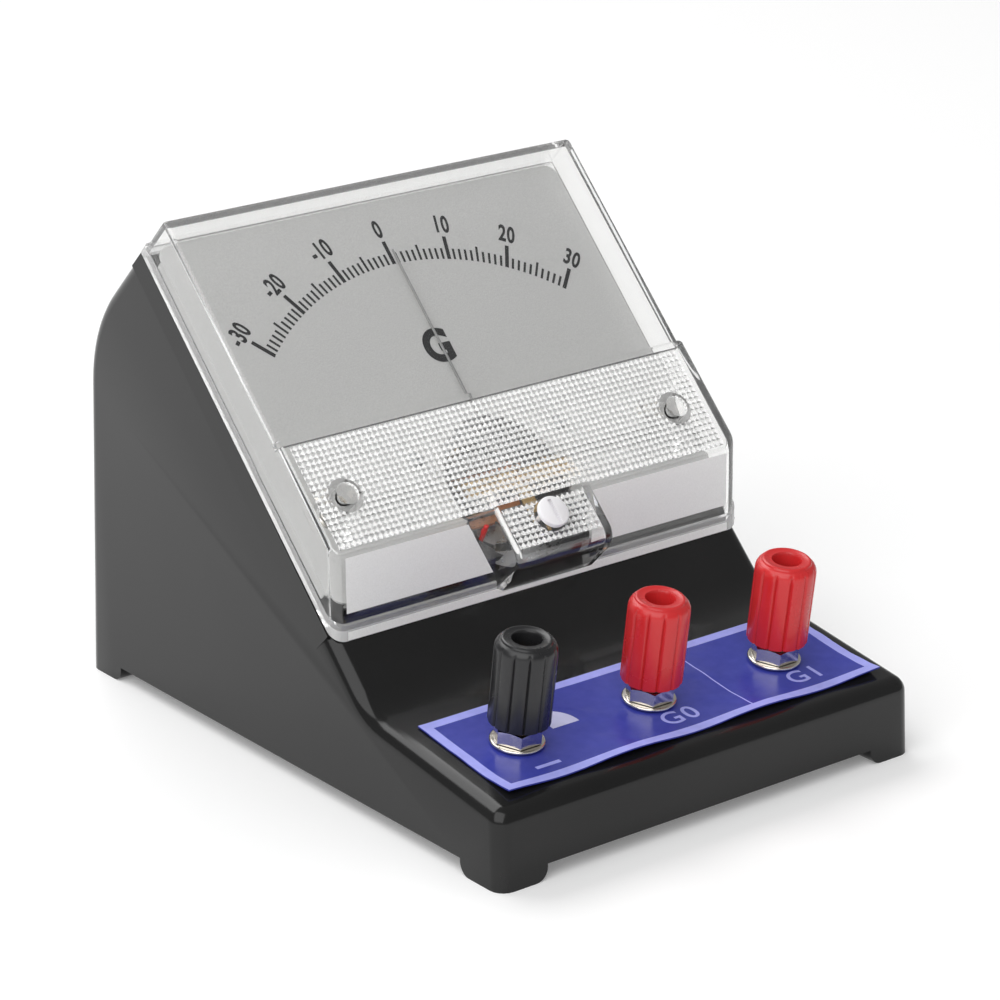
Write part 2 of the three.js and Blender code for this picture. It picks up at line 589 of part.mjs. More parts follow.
const hub = (rows) => solid(turned(rows, COARSE));
const coilLow = COIL_BOTTOM + 0.7;
part('magnet_yoke', magnetYoke(), STEEL, movement);
part('magnet_core', magnetCore(), STEEL, movement);
const holder = block([-HOLDER.half, -7.4, HOLDER.low], [HOLDER.half, 7.4, HOLDER.high]);
part('core_holder', solid(holder), BRASS, movement);
part('front_bridge', bridge(BRIDGE), BRASS, movement);
part('rear_bridge', bridge(REAR_BRIDGE), BRASS, movement);
part('front_jewel_screw', jewelScrew(7.6, 9.9), BRASS, movement);
part('rear_jewel_screw', jewelScrew(-20.2, -22.8), BRASS, movement);
part('coil_former', coilFrame(COIL.inner, COIL.former, COIL_TOP - 0.7, coilLow, 0.4), SILVER, movement);
part('coil_winding', coilFrame(COIL.former + 0.1, COIL.outer, COIL_TOP, COIL_BOTTOM, 0.6), COPPER, movement);
part('front_pivot', hub([[0, -2.7], [0.5, -2.7], [0.5, 7.4], [0.1, 8.1], [0, 8.1]]), STEEL, movement);
part('rear_pivot', hub([[0, -20.7], [0.1, -20.7], [0.5, -20], [0.5, -18], [0, -18]]), STEEL, movement);
part('pointer', pointer(), BLACK, movement);
const weight = block([-0.6, -6.4, POINTER_LEVEL + 0.5], [0.6, -5.1, POINTER_LEVEL + 1.3]);
part('counterweight', solid(weight), BRASS, movement);
part('front_hairspring', hairspring(5.9, 6.5), COPPER, movement);
part('rear_hairspring', hairspring(-19.3, -18.7), COPPER, movement);
part('zero_lever', zeroLever(), BRASS, movement);

// ---------------------------------------------------------------- label and binding posts
const LABEL = { left: -42.6, right: 45.2, back: 13.3, front: -13.3, low: 0.15, high: 0.5 };
const WASHER = { low: 0.65, high: 1.35 };
const NUT = { low: 1.5, high: 3.7 };
const LUG = { low: -3.2, high: -2.6 };
const LOCK_NUT = { low: -5.8, high: -3.4 };

function labelPlate() {
  const edge = rectangle(LABEL.left, LABEL.front, LABEL.right, LABEL.back);
  const film = solid(slab(edge, LABEL.low, LABEL.high));
  const places = [-1, 0, 1].map((place) => place * TERMINAL_PITCH);
  return cut(film, ...places.map((x) => rod(STUD_RADIUS + GAP, -3, 3, x, 0, COARSE)));
}

/** Fluted cap with the plug's hole through its crown. */
function knobCap() {
  const steps = 4 * KNOB_LOBES;
  const rim = [];
  for (let i = 0; i < steps; i += 1) {
    const angle = (i / steps) * 2 * Math.PI;
    const radius = KNOB_RADIUS - (i % 4 === 0 ? 0.55 : 0);
    rim.push(new THREE.Vector2(radius * Math.cos(angle), radius * Math.sin(angle)));
  }
  const [low, high] = [KNOB_FLOOR, KNOB_FLOOR + KNOB_HEIGHT];
  const crown = turned([
    [0, low - 1], [KNOB_RADIUS + 1, low - 1], [KNOB_RADIUS + 1, high - 2.2],
    [KNOB_RADIUS - 0.1, high - 1.2], [KNOB_RADIUS - 1, high - 0.25], [KNOB_RADIUS - 1.7, high], [0, high]]);
  const body = solid(slab(new THREE.Shape(rim), low, high)).intersect(solid(crown));
  return cut(body, rod(3.5, 0, high - 4), rod(2.65, 0, 40));
}

function threadedInsert() {
  return cut(solid(rod(3.2, KNOB_FLOOR + 0.3, KNOB_FLOOR + KNOB_HEIGHT - 4.4)), rod(2.1, 0, 40));
}

function plainWasher() {
  return cut(solid(rod(5.1, WASHER.low, WASHER.high)), rod(STUD_RADIUS + GAP, -9, 9));
}

function hexNut(range, acrossFlats) {
  return cut(solid(slab(hexagon(acrossFlats), range.low, range.high)), rod(STUD_RADIUS + GAP, -20, 20));
}

function solderLug() {
  const eye = solid(rod(3.9, LUG.low, LUG.high, 0, 0, COARSE));
  const tab = block([-1.3, 3, LUG.low], [1.3, 11, LUG.high]);
  const studHole = rod(STUD_RADIUS + GAP, -20, 20, 0, 0, COARSE);
  return cut(join(eye, tab), studHole, rod(0.7, -20, 20, 0, 9.4, 8));
}

part('label_plate', labelPlate(), BLUE, posts[1]);
const TERMINALS = [['common', BLACK], ['low_range', RED], ['high_range', RED]];
TERMINALS.forEach(([name, finish], i) => {
  part(`${name}_stud`, solid(rod(STUD_RADIUS, -9, 11.5)), BRASS, posts[i]);
  part(`${name}_washer`, plainWasher(), NICKEL, posts[i]);
  part(`${name}_nut`, hexNut(NUT, 8), NICKEL, posts[i]);
  part(`${name}_insert`, threadedInsert(), BRASS, posts[i]);
  part(`${name}_knob`, knobCap(), finish, posts[i]);
  part(`${name}_lug`, solderLug(), BRASS, posts[i]);
  part(`${name}_lock_nut`, hexNut(LOCK_NUT, 7), NICKEL, posts[i]);
});

// ---------------------------------------------------------------- resistor and leads
/** Round wire through a list of points. */
function wire(points, radius, steps) {
  const section = new THREE.Shape();
  section.absarc(0, 0, radius, 0, 2 * Math.PI);
  const path = new THREE.CatmullRomCurve3(points.map((point) => new THREE.Vector3(...point)));
  return solid(new THREE.ExtrudeGeometry(section, { steps, extrudePath: path, curveSegments: 4 }));
}

/** Axial resistor between the lugs of the two ranges, lying across the case. */
function seriesResistor() {
  const [lead, half, radius] = [0.4, 3.2, 1.2];
  const end = TERMINAL_PITCH / 2 - 1.6;
  return solid(turned([
    [0, -end], [lead, -end], [lead, -half - 0.6], [radius, -half], [radius, half],
    [lead, half + 0.6], [lead, end], [0, end]], COARSE).rotateY(Math.PI / 2));
}

const onSlope = (x, s, n) => new THREE.Vector3(x, s, n).applyMatrix4(slope.matrix).toArray();
const LUG_TIP = { y: -39.7, z: 14.77 };
const betweenRanges = TERMINAL_X + TERMINAL_PITCH / 2;
part('series_resistor', moved(seriesResistor(), betweenRanges, LUG_TIP.y, LUG_TIP.z), TAN);
part('red_lead', wire([
  [TERMINAL_X, LUG_TIP.y + 2.6, LUG_TIP.z], [-3, -34, 13], [-7, -23, 16.5], onSlope(-9, -1, -4.2),
  onSlope(-9.3, 6.5, -3.3), onSlope(-9.2, 10.8, -2.2), onSlope(-9.4, 12, 0.8), onSlope(-9.2, 13.2, 4.6),
], 0.55, 24), RED);
part('black_lead', wire([
  [TERMINAL_X - TERMINAL_PITCH, LUG_TIP.y + 2.6, LUG_TIP.z], [-30, -33, 13], [-24, -18, 12], [-18, -2, 13],
  onSlope(-15.6, PIVOT_S, -21),
], 0.55, 18), BLACK);

export default group;
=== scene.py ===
"""Looks of a student galvanometer: a sloped black case, a clear cover over a centre-zero dial,
and three binding posts. Every shape is made in millimetres and scaled once, in piece()."""

import json
import math

import bmesh
import bpy
from mathutils import Matrix, Vector


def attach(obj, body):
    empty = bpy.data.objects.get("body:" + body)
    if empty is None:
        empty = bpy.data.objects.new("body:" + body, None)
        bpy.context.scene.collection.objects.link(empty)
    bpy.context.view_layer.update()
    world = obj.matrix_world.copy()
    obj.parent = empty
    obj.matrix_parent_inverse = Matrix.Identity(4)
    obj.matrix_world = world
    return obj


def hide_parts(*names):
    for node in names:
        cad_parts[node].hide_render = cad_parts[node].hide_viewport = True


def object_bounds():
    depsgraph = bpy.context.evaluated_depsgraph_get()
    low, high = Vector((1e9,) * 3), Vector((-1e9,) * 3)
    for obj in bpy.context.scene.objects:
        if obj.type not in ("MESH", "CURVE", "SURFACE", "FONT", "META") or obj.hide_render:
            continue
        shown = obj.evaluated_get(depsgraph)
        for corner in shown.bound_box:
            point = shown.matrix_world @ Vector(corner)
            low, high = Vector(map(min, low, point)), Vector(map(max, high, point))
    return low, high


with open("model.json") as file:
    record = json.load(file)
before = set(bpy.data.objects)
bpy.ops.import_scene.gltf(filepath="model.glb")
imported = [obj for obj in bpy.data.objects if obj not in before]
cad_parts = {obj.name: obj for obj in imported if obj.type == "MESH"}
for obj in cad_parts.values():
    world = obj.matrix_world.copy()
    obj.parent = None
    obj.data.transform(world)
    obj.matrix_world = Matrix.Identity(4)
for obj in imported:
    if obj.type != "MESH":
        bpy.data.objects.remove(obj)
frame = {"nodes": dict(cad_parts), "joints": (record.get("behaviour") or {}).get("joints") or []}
cad_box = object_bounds()

# ---------------------------------------------------------------- driving dimensions, millimetres
MM = 0.001
DEGREE = math.pi / 180

CASE_WALL = 2.2
CASE_EDGE = 3.0
SIDE_DRAFT = 0.0105
FRONT_DRAFT = 0.04
BACK_DRAFT = 0.056
FOOT = {"height": 3.1, "width": 10.6, "depth": 11.6, "rounding": 2.6}
SLOPE_FOOT = Vector((-17.6, 30.9))      # Y and Z where the slope starts
SLOPE_TOP = Vector((43.0, 92.2))
BACK_CREST = (63.1, 72.1, 30.0)
HEEL_RADIUS = 14.0
LIP_RADIUS = 3.2
SCREW_BOTTOM = (30.0, 59.5)

COVER_LENGTH = 85.0
COVER_CORNERS = {"chin": 3.0, "top": 1.0}
COVER_HALF = 48.15
COVER_WALL = 1.3
COVER_FOOT = 0.3                         # how far the cover's foot stands off the slope
COVER_EDGE = 0.9
WINDOW_HEIGHT = 10.95
BAND_HEIGHT = 12.14
CHIN_FOOT = 0.2
CHIN_RUN = 1.41                          # along the slope for each millimetre the chin is inset
BAND_START = 12.5
BAND_END = 36.7
RIM_HEIGHT = 2.4
RIM_PROUD = 0.35
BOSS_HALF = 11.3
BOSS_ROUNDING = 3.6
SCREW_X, SCREW_S = 39.0, 23.2
WELL = {"radius": 3.5, "bore": 2.3, "floor": 6.5}
CHIN_PANEL = {"levels": (3.7, 11.2), "foot": (0.4, 1.5), "inner": 11.9, "outer": 45.2, "slant": 5.6}
ADJUSTER_S = 8.9
TEXTURE_PITCH = 1.2
TEXTURE_HEIGHT = 0.42
TEXTURE_START = 13.4
TEXTURE_LEVEL = BAND_HEIGHT - COVER_WALL + 0.05

DIAL_FACE = 3.6
PIVOT_S = 17.7
DIAL_SCREW = (17, 25.5)                  # X and distance up the slope
FRAME_SCREW = (18.9, 10.5)
TERMINAL_PITCH = 30.5
KNOB = {"radius": 5.75, "height": 16.7, "floor": 5.1, "lobes": 12, "socket": 2.65, "hollow": 3.5}
STUD_RADIUS = 1.9
STUD_GAP = 0.3
NUT = {"across_flats": 8, "low": 1.5, "high": 4.2, "bore": 2.1}
LOCK_NUT = {"across_flats": 7, "low": -5.8, "high": -3.4, "bore": 2.1}
MOVEMENT_HOLE = 13.3
SCREW_HOLE = 1.6
FRAME_HOLE = 1.4
BOTTOM_PAN = {"radius": 2.7, "shank": 1.3, "tip": -13, "low": -3.6, "high": -2.2}
COVER_PAN = {"radius": 2.0, "shank": 1.3, "tip": -9, "low": 6.8, "high": 8.0}
DIAL_PAN = {"radius": 1.6, "shank": 0.9, "tip": 1, "low": 3.7, "high": 4.4}
FRAME_PAN = {"radius": 2.2, "shank": 1.1, "tip": -4.7, "low": 1.6, "high": 2.4}
LABEL = {"left": -42.6, "right": 45.2, "back": 13.3, "front": -13.3, "low": 0.15, "thick": 0.3,
         "border": 2.0, "line": 0.3}


# ---------------------------------------------------------------- frames of the sloped faces
def joint(name):
    """The frame's row for a joint."""
    return next(row for row in frame["joints"] if row["name"] == name)


def face_frame(origin, normal):
    """Axes across, up the face and out of it, in millimetres."""
    across = Vector((1, 0, 0))
    matrix = Matrix((across, normal.cross(across), normal)).transposed().to_4x4()
    matrix.translation = origin
    return matrix


def slope_frame():
    """Frame of the sloped face: across, up the slope and out of it."""
    pivot = joint("pointer_swing")
    normal = Vector(pivot["axis"])
    turned = face_frame(Vector(pivot["pos_m"]) / MM, normal)
    return turned @ Matrix.Translation((0, -PIVOT_S, -5))


SLOPE = slope_frame()
TERMINALS = ("common", "low_range", "high_range")
POSTS = [
    face_frame(Vector(joint(name + "_turn")["pos_m"]) / MM, Vector(joint(name + "_turn")["axis"]))
    for name in TERMINALS
]
CASE_HALF = Vector((cad_box[1].x, cad_box[1].y)) / MM


# ---------------------------------------------------------------- camera, light and floor
def camera():
    """Stands at the reference view: low, to the left of the front."""
    azimuth, elevation, roll = -37.574 * DEGREE, 20.025 * DEGREE, -0.571 * DEGREE
    middle, distance = Vector((0, 0, 40)), 695.62
    back = Vector((
        math.sin(azimuth) * math.cos(elevation),
        -math.cos(azimuth) * math.cos(elevation),
        math.sin(elevation)))
    turn = (-back).to_track_quat("-Z", "Y").to_matrix() @ Matrix.Rotation(roll, 3, "Z")
    data = bpy.data.cameras.new("camera")
    data.lens = 131.5
    data.sensor_width = 36
    data.clip_start = 0.02
    view = bpy.data.objects.new("camera", data)
    offset = turn @ Vector((2.597, 2.620, 0))
    place = middle + offset + back * distance
    view.matrix_world = Matrix.Translation(place * MM) @ turn.to_4x4()
    bpy.context.scene.collection.objects.link(view)
    bpy.context.scene.camera = view


def softbox(name, place, target, size, power):
    """Rectangular lamp that faces a point. Places and sizes are in metres."""
    data = bpy.data.lights.new(name, "AREA")
    data.shape = "RECTANGLE"
    data.size, data.size_y = size
    data.energy = power
    lamp = bpy.data.objects.new(name, data)
    aim = (Vector(target) - Vector(place)).to_track_quat("-Z", "Y")
    lamp.matrix_world = Matrix.Translation(place) @ aim.to_matrix().to_4x4()
    bpy.context.scene.collection.objects.link(lamp)


def studio():
    """White paper under two large soft lights, with a dim room above."""
    world = bpy.data.worlds.new("studio")
    world.use_nodes = True
    room = world.node_tree.nodes["Background"]
    room.inputs["Color"].default_value = (1, 1, 1, 1)
    room.inputs["Strength"].default_value = 0.3
    bpy.context.scene.world = world
    centre = (0, 0, 0.05)
    softbox("key", (-1.3, -0.8, 1.5), centre, (2.6, 2.6), 44)
    softbox("back", (-0.1, 1.3, 1.7), centre, (2.2, 1.0), 24)
    bpy.context.scene.view_settings.view_transform = "Standard"

    shape = bmesh.new()
    bmesh.ops.create_grid(shape, x_segments=1, y_segments=1, size=4)
    mesh = bpy.data.meshes.new("floor")
    shape.to_mesh(mesh)
    shape.free()
    paper, _, _ = principled(
        "floor_paper", (0.86, 0.86, 0.86), 0.6, Emission_Color=(1, 1, 1, 1), Emission_Strength=0.16)
    mesh.materials.append(paper)
    ground = bpy.data.objects.new("floor", mesh)
    bpy.context.scene.collection.objects.link(ground)


# ---------------------------------------------------------------- materials
def principled(name, colour, roughness, metallic=0.0, **sockets):
    """A material with one Principled shader. Returns it with its node tree and that shader."""
    material = bpy.data.materials.new(name)
    material.use_nodes = True
    tree = material.node_tree
    shader = tree.nodes["Principled BSDF"]
    shader.inputs["Base Color"].default_value = (*colour, 1)
    shader.inputs["Roughness"].default_value = roughness
    shader.inputs["Metallic"].default_value = metallic
    for socket, value in sockets.items():
        shader.inputs[socket.replace("_", " ")].default_value = value
    return material, tree, shader


def noise(tree, scale, detail=4.0, stretch=(1, 1, 1)):
    """Noise in the object's own space. The scale counts features per metre."""
    place = tree.nodes.new("ShaderNodeTexCoord")
    mapping = tree.nodes.new("ShaderNodeMapping")
    mapping.inputs["Scale"].default_value = stretch
    texture = tree.nodes.new("ShaderNodeTexNoise")
    texture.inputs["Scale"].default_value = scale
    texture.inputs["Detail"].default_value = detail
    tree.links.new(place.outputs["Object"], mapping.inputs["Vector"])
    tree.links.new(mapping.outputs["Vector"], texture.inputs["Vector"])
    return texture.outputs["Fac"]


def ranged(tree, value, low, high):
    """Maps the middle of a texture's range onto low to high."""
    node = tree.nodes.new("ShaderNodeMapRange")
    node.inputs["From Min"].default_value = 0.3
    node.inputs["From Max"].default_value = 0.7
    node.inputs["To Min"].default_value = low
    node.inputs["To Max"].default_value = high
    tree.links.new(value, node.inputs["Value"])
    return node.outputs["Result"]


def bump(tree, shader, height, distance):
    """Adds relief to a shader. The distance is the relief's depth in millimetres."""
    node = tree.nodes.new("ShaderNodeBump")
    node.inputs["Strength"].default_value = 1.0
    node.inputs["Distance"].default_value = distance * MM
    tree.links.new(height, node.inputs["Height"])
    previous = shader.inputs["Normal"].links
    if previous:
        tree.links.new(previous[0].from_socket, node.inputs["Normal"])
    tree.links.new(node.outputs["Normal"], shader.inputs["Normal"])


def tinted(tree, value, low, high):
    """Colour between two tones, by a texture's value."""
    ramp = tree.nodes.new("ShaderNodeMix")
    ramp.data_type = "RGBA"
    ramp.inputs["A"].default_value = (*low, 1)
    ramp.inputs["B"].default_value = (*high, 1)
    tree.links.new(ranged(tree, value, 0, 1), ramp.inputs["Factor"])
    return ramp.outputs["Result"]


def moulded(name, colour, roughness, wave=0.03, shine=0.5):
    """Injection-moulded plastic: slow sink waves, fine orange peel and faint handling marks."""
    material, tree, shader = principled(name, colour, roughness, IOR=1.49, Specular_IOR_Level=shine)
    uneven = ranged(tree, noise(tree, 60, 6), roughness * 0.8, roughness * 1.35)
    tree.links.new(uneven, shader.inputs["Roughness"])
    lighter = [min(1, value * 1.15 + 0.003) for value in colour]
    tree.links.new(tinted(tree, noise(tree, 25, 3), colour, lighter), shader.inputs["Base Color"])
    bump(tree, shader, noise(tree, 45, 1), wave)
    bump(tree, shader, noise(tree, 2500, 2), 0.002)
    return material


def plated(name, colour, roughness, brushed=1.0):
    """Metal with fine polishing lines and slight tarnish."""
    material, tree, shader = principled(name, colour, roughness, 1.0)
    lines = noise(tree, 900, 3, (1, 1, brushed))
    tree.links.new(ranged(tree, lines, roughness * 0.7, roughness * 1.6), shader.inputs["Roughness"])
    duller = [value * 0.82 for value in colour]
    tree.links.new(tinted(tree, noise(tree, 300, 5), duller, colour), shader.inputs["Base Color"])
    bump(tree, shader, noise(tree, 1500, 3), 0.004)
    return material


def clear_plastic(name, haze):
    """Clear polystyrene with some haze. Light from the lamps reaches the dial straight through it."""
    material, tree, shader = principled(
        name, (0.99, 0.99, 0.985), 0.02, Transmission_Weight=1.0, IOR=1.5)
    cloudy = tree.nodes.new("ShaderNodeBsdfDiffuse")
    cloudy.inputs["Color"].default_value = (0.95, 0.95, 0.95, 1)
    hazy = tree.nodes.new("ShaderNodeMixShader")
    hazy.inputs["Fac"].default_value = haze
    tree.links.new(shader.outputs["BSDF"], hazy.inputs[1])
    tree.links.new(cloudy.outputs["BSDF"], hazy.inputs[2])
    straight = tree.nodes.new("ShaderNodeBsdfTransparent")
    straight.inputs["Color"].default_value = (0.95, 0.95, 0.95, 1)
    path = tree.nodes.new("ShaderNodeLightPath")
    either = tree.nodes.new("ShaderNodeMixShader")
    tree.links.new(path.outputs["Is Shadow Ray"], either.inputs["Fac"])
    tree.links.new(hazy.outputs["Shader"], either.inputs[1])
    tree.links.new(straight.outputs["BSDF"], either.inputs[2])
    tree.links.new(either.outputs["Shader"], tree.nodes["Material Output"].inputs["Surface"])
    bump(tree, shader, noise(tree, 40, 1), 0.01)
    return material


def frosted_plastic():
    """Etched face of the cover: it scatters light, and its speckle is fine and uneven."""
    material, tree, shader = principled(
        "frosted_plastic", (0.86, 0.86, 0.86), 0.5, Transmission_Weight=0.06, IOR=1.5)
    speckle = tinted(tree, noise(tree, 4500, 4), (0.82, 0.82, 0.81), (0.91, 0.91, 0.9))
    tree.links.new(speckle, shader.inputs["Base Color"])
    bump(tree, shader, noise(tree, 4500, 3), 0.012)
    return material


def dial_paint():
    """Silver-grey sprayed paint with a fine metallic grain."""
    material, tree, shader = principled("dial_paint", (0.41, 0.41, 0.407), 0.5, 0.15)
    grain = tinted(tree, noise(tree, 4000, 2), (0.373, 0.373, 0.371), (0.447, 0.447, 0.443))
    tree.links.new(grain, shader.inputs["Base Color"])
    bump(tree, shader, noise(tree, 3500, 2), 0.006)
    return material


def printed(name, colour, roughness=0.35, shine=0.5):
    """Ink with a slightly uneven film."""
    material, tree, shader = principled(name, colour, roughness, Specular_IOR_Level=shine)
    paler = [min(1, value * 1.12 + 0.004) for value in colour]
    tree.links.new(tinted(tree, noise(tree, 500, 4), colour, paler), shader.inputs["Base Color"])
    bump(tree, shader, noise(tree, 1200, 2), 0.003)
    return material


BLACK = moulded("black_abs", (0.007, 0.007, 0.007), 0.16, shine=0.36)
CLEAR = clear_plastic("clear_plastic", 0.003)
TEXTURED = clear_plastic("textured_plastic", 0.12)
# Hazier copy of the textured plastic for the pyramid sides that lean one way: painted highlight, so
# those facets read as the lit ones.
PAINTED_LIT_FACET = clear_plastic("painted_lit_facet", 0.62)
# Hazier copy of the clear plastic for the rim: painted light, a pale band standing for the light the
# thick rim catches and the sky it reflects inside itself.
RIM_PAINTED_REFLECTION = clear_plastic("rim_painted_reflection", 0.25)
FROSTED = frosted_plastic()
KNOB_BLACK = moulded("knob_black", (0.010, 0.010, 0.011), 0.25, 0.01)
KNOB_RED = moulded("knob_red", (0.52, 0.018, 0.02), 0.25, 0.01)
WHITE = moulded("white_nylon", (0.85, 0.84, 0.86), 0.4, 0.01)
PHENOLIC = moulded("phenolic", (0.02, 0.02, 0.022), 0.45, 0.02)
DIAL = dial_paint()
INK = printed("dial_ink", (0.004, 0.004, 0.005), 0.6, 0.15)
FILM_BLUE = printed("film_blue", (0.035, 0.045, 0.32), 0.26, 0.4)
FILM_PALE = printed("film_pale", (0.34, 0.36, 0.82), 0.26, 0.4)
FILM_WHITE = printed("film_white", (0.55, 0.56, 0.80), 0.15)
NICKEL = plated("nickel", (0.78, 0.74, 0.68), 0.16)
STEEL = plated("zinc_steel", (0.55, 0.56, 0.58), 0.3)
BRASS = plated("brass", (0.78, 0.55, 0.26), 0.24)
COPPER = plated("copper_wire", (0.75, 0.34, 0.17), 0.3, 12)
ALUMINIUM = plated("aluminium", (0.8, 0.8, 0.81), 0.3)
POINTER = printed("pointer_paint", (0.17, 0.17, 0.17), 0.4)
LACQUER = moulded("resistor_lacquer", (0.55, 0.38, 0.2), 0.3, 0.005)
PVC_RED = moulded("pvc_red", (0.62, 0.02, 0.02), 0.35, 0.005)
PVC_BLACK = moulded("pvc_black", (0.015, 0.015, 0.015), 0.35, 0.005)


# ---------------------------------------------------------------- outlines and solids
def rounded(corners, steps=8):
    """Points of a closed outline, from rows of x, y and corner radius."""
    points = []
    for i, (x, y, *radius) in enumerate(corners):
        corner = Vector((x, y))
        if not radius:
            points.append(corner)
            continue
        back = (Vector(corners[i - 1][:2]) - corner).normalized()
        ahead = (Vector(corners[(i + 1) % len(corners)][:2]) - corner).normalized()
        half = back.angle(ahead) / 2
        centre = corner + (back + ahead).normalized() * radius[0] / math.sin(half)
        start = corner + back * radius[0] / math.tan(half) - centre
        end = corner + ahead * radius[0] / math.tan(half) - centre
        first = math.atan2(start.y, start.x)
        sweep = (math.atan2(end.y, end.x) - first + math.pi) % (2 * math.pi) - math.pi
        for k in range(steps + 1):
            angle = first + sweep * k / steps
            points.append(centre + radius[0] * Vector((math.cos(angle), math.sin(angle))))
    return points


def inset(corners, distance):
    """Moves every edge of a counter-clockwise outline inwards."""
    def edge(i):
        """A point on a moved edge, and its direction."""
        start = Vector(corners[i][:2])
        along = (Vector(corners[(i + 1) % len(corners)][:2]) - start).normalized()
        return start + Vector((-along.y, along.x)) * distance, along

    moved = []
    for i, (_, _, *radius) in enumerate(corners):
        (start, before), (ahead, after) = edge(i - 1), edge(i)
        turn = before.cross(after)
        place = start + before * ((ahead - start).cross(after) / turn)
        change = -distance if turn > 0 else distance
        moved.append((place.x, place.y, *[max(value + change, 0) for value in radius]))
    return moved


def loft(rings):
    """Closed solid through rings of points that all have the same count."""
    shape = bmesh.new()
    rows = [[shape.verts.new(point) for point in ring] for ring in rings]
    for lower, upper in zip(rows, rows[1:]):
        for i in range(len(lower)):
            shape.faces.new((lower[i - 1], lower[i], upper[i], upper[i - 1]))
    shape.faces.new(rows[0][::-1])
    shape.faces.new(rows[-1])
    bmesh.ops.remove_doubles(shape, verts=shape.verts, dist=1e-4)
    bmesh.ops.dissolve_degenerate(shape, edges=shape.edges, dist=1e-5)
    bmesh.ops.recalc_face_normals(shape, faces=shape.faces)
    return shape


def fillet(radius):
    """Rows of inset and rise round a quarter circle, from the wall to the face."""
    steps = 5
    angles = [k / steps * math.pi / 2 for k in range(steps + 1)]
    return [(radius * (1 - math.cos(angle)), radius * math.sin(angle)) for angle in angles]


def slab(points, low, high):
    """Flat plate of an outline in X and Y, between two heights."""
    return loft([[(x, y, z) for x, y in points] for z in (low, high)])


def beam(corners, half_width, rounding=0.0, steps=8):
    """Bar across X with its outline in Y and Z, and rounded ends."""
    rows = fillet(rounding) if rounding else [(0.0, 0.0)]
    ends = [(half_width - rounding + rise, depth) for depth, rise in rows]
    rings = []
    for x, depth in [(-x, depth) for x, depth in reversed(ends)] + ends:
        outline = rounded(inset(corners, depth) if depth else corners, steps)
        rings.append([(x, point.x, point.y) for point in outline])
    return loft(rings)


def turned(rows, sides=48):
    """Round solid about Z, from rows of radius and height that start and end on the axis."""
    shape = bmesh.new()
    rings = []
    for radius, height in rows:
        if radius == 0:
            rings.append([shape.verts.new((0, 0, height))])
            continue
        angles = [2 * math.pi * i / sides for i in range(sides)]
        ring = [(radius * math.cos(a), radius * math.sin(a), height) for a in angles]
        rings.append([shape.verts.new(point) for point in ring])
    for lower, upper in zip(rings, rings[1:]):
        for i in range(sides):
            near = lower[:1] if len(lower) == 1 else [lower[i - 1], lower[i]]
            far = upper[:1] if len(upper) == 1 else [upper[i], upper[i - 1]]
            shape.faces.new(near + far)
    bmesh.ops.recalc_face_normals(shape, faces=shape.faces)
    return shape


def rod(radius, low, high, x=0.0, y=0.0, sides=48):
    """Upright cylinder between two heights."""
    shape = turned([(0, low), (radius, low), (radius, high), (0, high)], sides)
    shape.transform(Matrix.Translation((x, y, 0)))
    return shape


def block(low, high):
    """Box between two corners."""
    shape = bmesh.new()
    bmesh.ops.create_cube(shape, size=1)
    low, high = Vector(low), Vector(high)
    size = Matrix.Diagonal((*(high - low), 1))
    shape.transform(Matrix.Translation((low + high) / 2) @ size)
    return shape


def ring_of(rows):
    """Round solid with a hole, from a closed profile of radius and height."""
    sides = 64
    shape = bmesh.new()
    angles = [2 * math.pi * i / sides for i in range(sides)]
    rings = [
        [shape.verts.new((r * math.cos(a), r * math.sin(a), h)) for a in angles]
        for r, h in rows]
    for k in range(len(rings)):
        lower, upper = rings[k - 1], rings[k]
        for i in range(sides):
            shape.faces.new((lower[i - 1], lower[i], upper[i], upper[i - 1]))
    bmesh.ops.recalc_face_normals(shape, faces=shape.faces)
    return shape


def placed(shape, matrix):
    """Moves a shape and returns it."""
    shape.transform(matrix)
    return shape


def combined(body, operation, *tools):
    """Cuts, joins or crosses closed solids. It uses up the solids it is given."""
    works = []
    for shape in (body, *tools):
        mesh = bpy.data.meshes.new("work")
        shape.to_mesh(mesh)
        shape.free()
        works.append(bpy.data.objects.new("work", mesh))
        bpy.context.scene.collection.objects.link(works[-1])
    for work in works[1:]:
        modifier = works[0].modifiers.new("work", "BOOLEAN")
        modifier.operation = operation
        modifier.object = work
        modifier.solver = "MANIFOLD"
    graph = bpy.context.evaluated_depsgraph_get()
    result = bmesh.new()
    result.from_mesh(works[0].evaluated_get(graph).to_mesh())
    for work in works:
        bpy.data.meshes.remove(work.data)
    return result


def cut(body, *tools):
    """Takes the tools away from a body."""
    return combined(body, "DIFFERENCE", *tools)


def joined(body, *tools):
    """One solid of a body and the tools."""
    return combined(body, "UNION", *tools)


# ---------------------------------------------------------------- pieces
def shade(shape, limit=32):
    """Smooth shading that breaks at edges sharper than the limit."""
    for face in shape.faces:
        face.smooth = True
    for edge in shape.edges:
        edge.smooth = edge.calc_face_angle(0) < limit * DEGREE


def piece(name, shape, material, body, slot, *replaced, place=Matrix(), more=(), limit=32):
    """Turns a solid in millimetres into a piece that rides on a body."""
    shape.transform(Matrix.Scale(MM, 4) @ place)
    shade(shape, limit)
    mesh = bpy.data.meshes.new(name)
    shape.to_mesh(mesh)
    shape.free()
    for finish in (material, *more):
        mesh.materials.append(finish)
    made = bpy.data.objects.new(name, mesh)
    bpy.context.scene.collection.objects.link(made)
    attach(made, body)
    if replaced:
        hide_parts(*replaced)
    return made


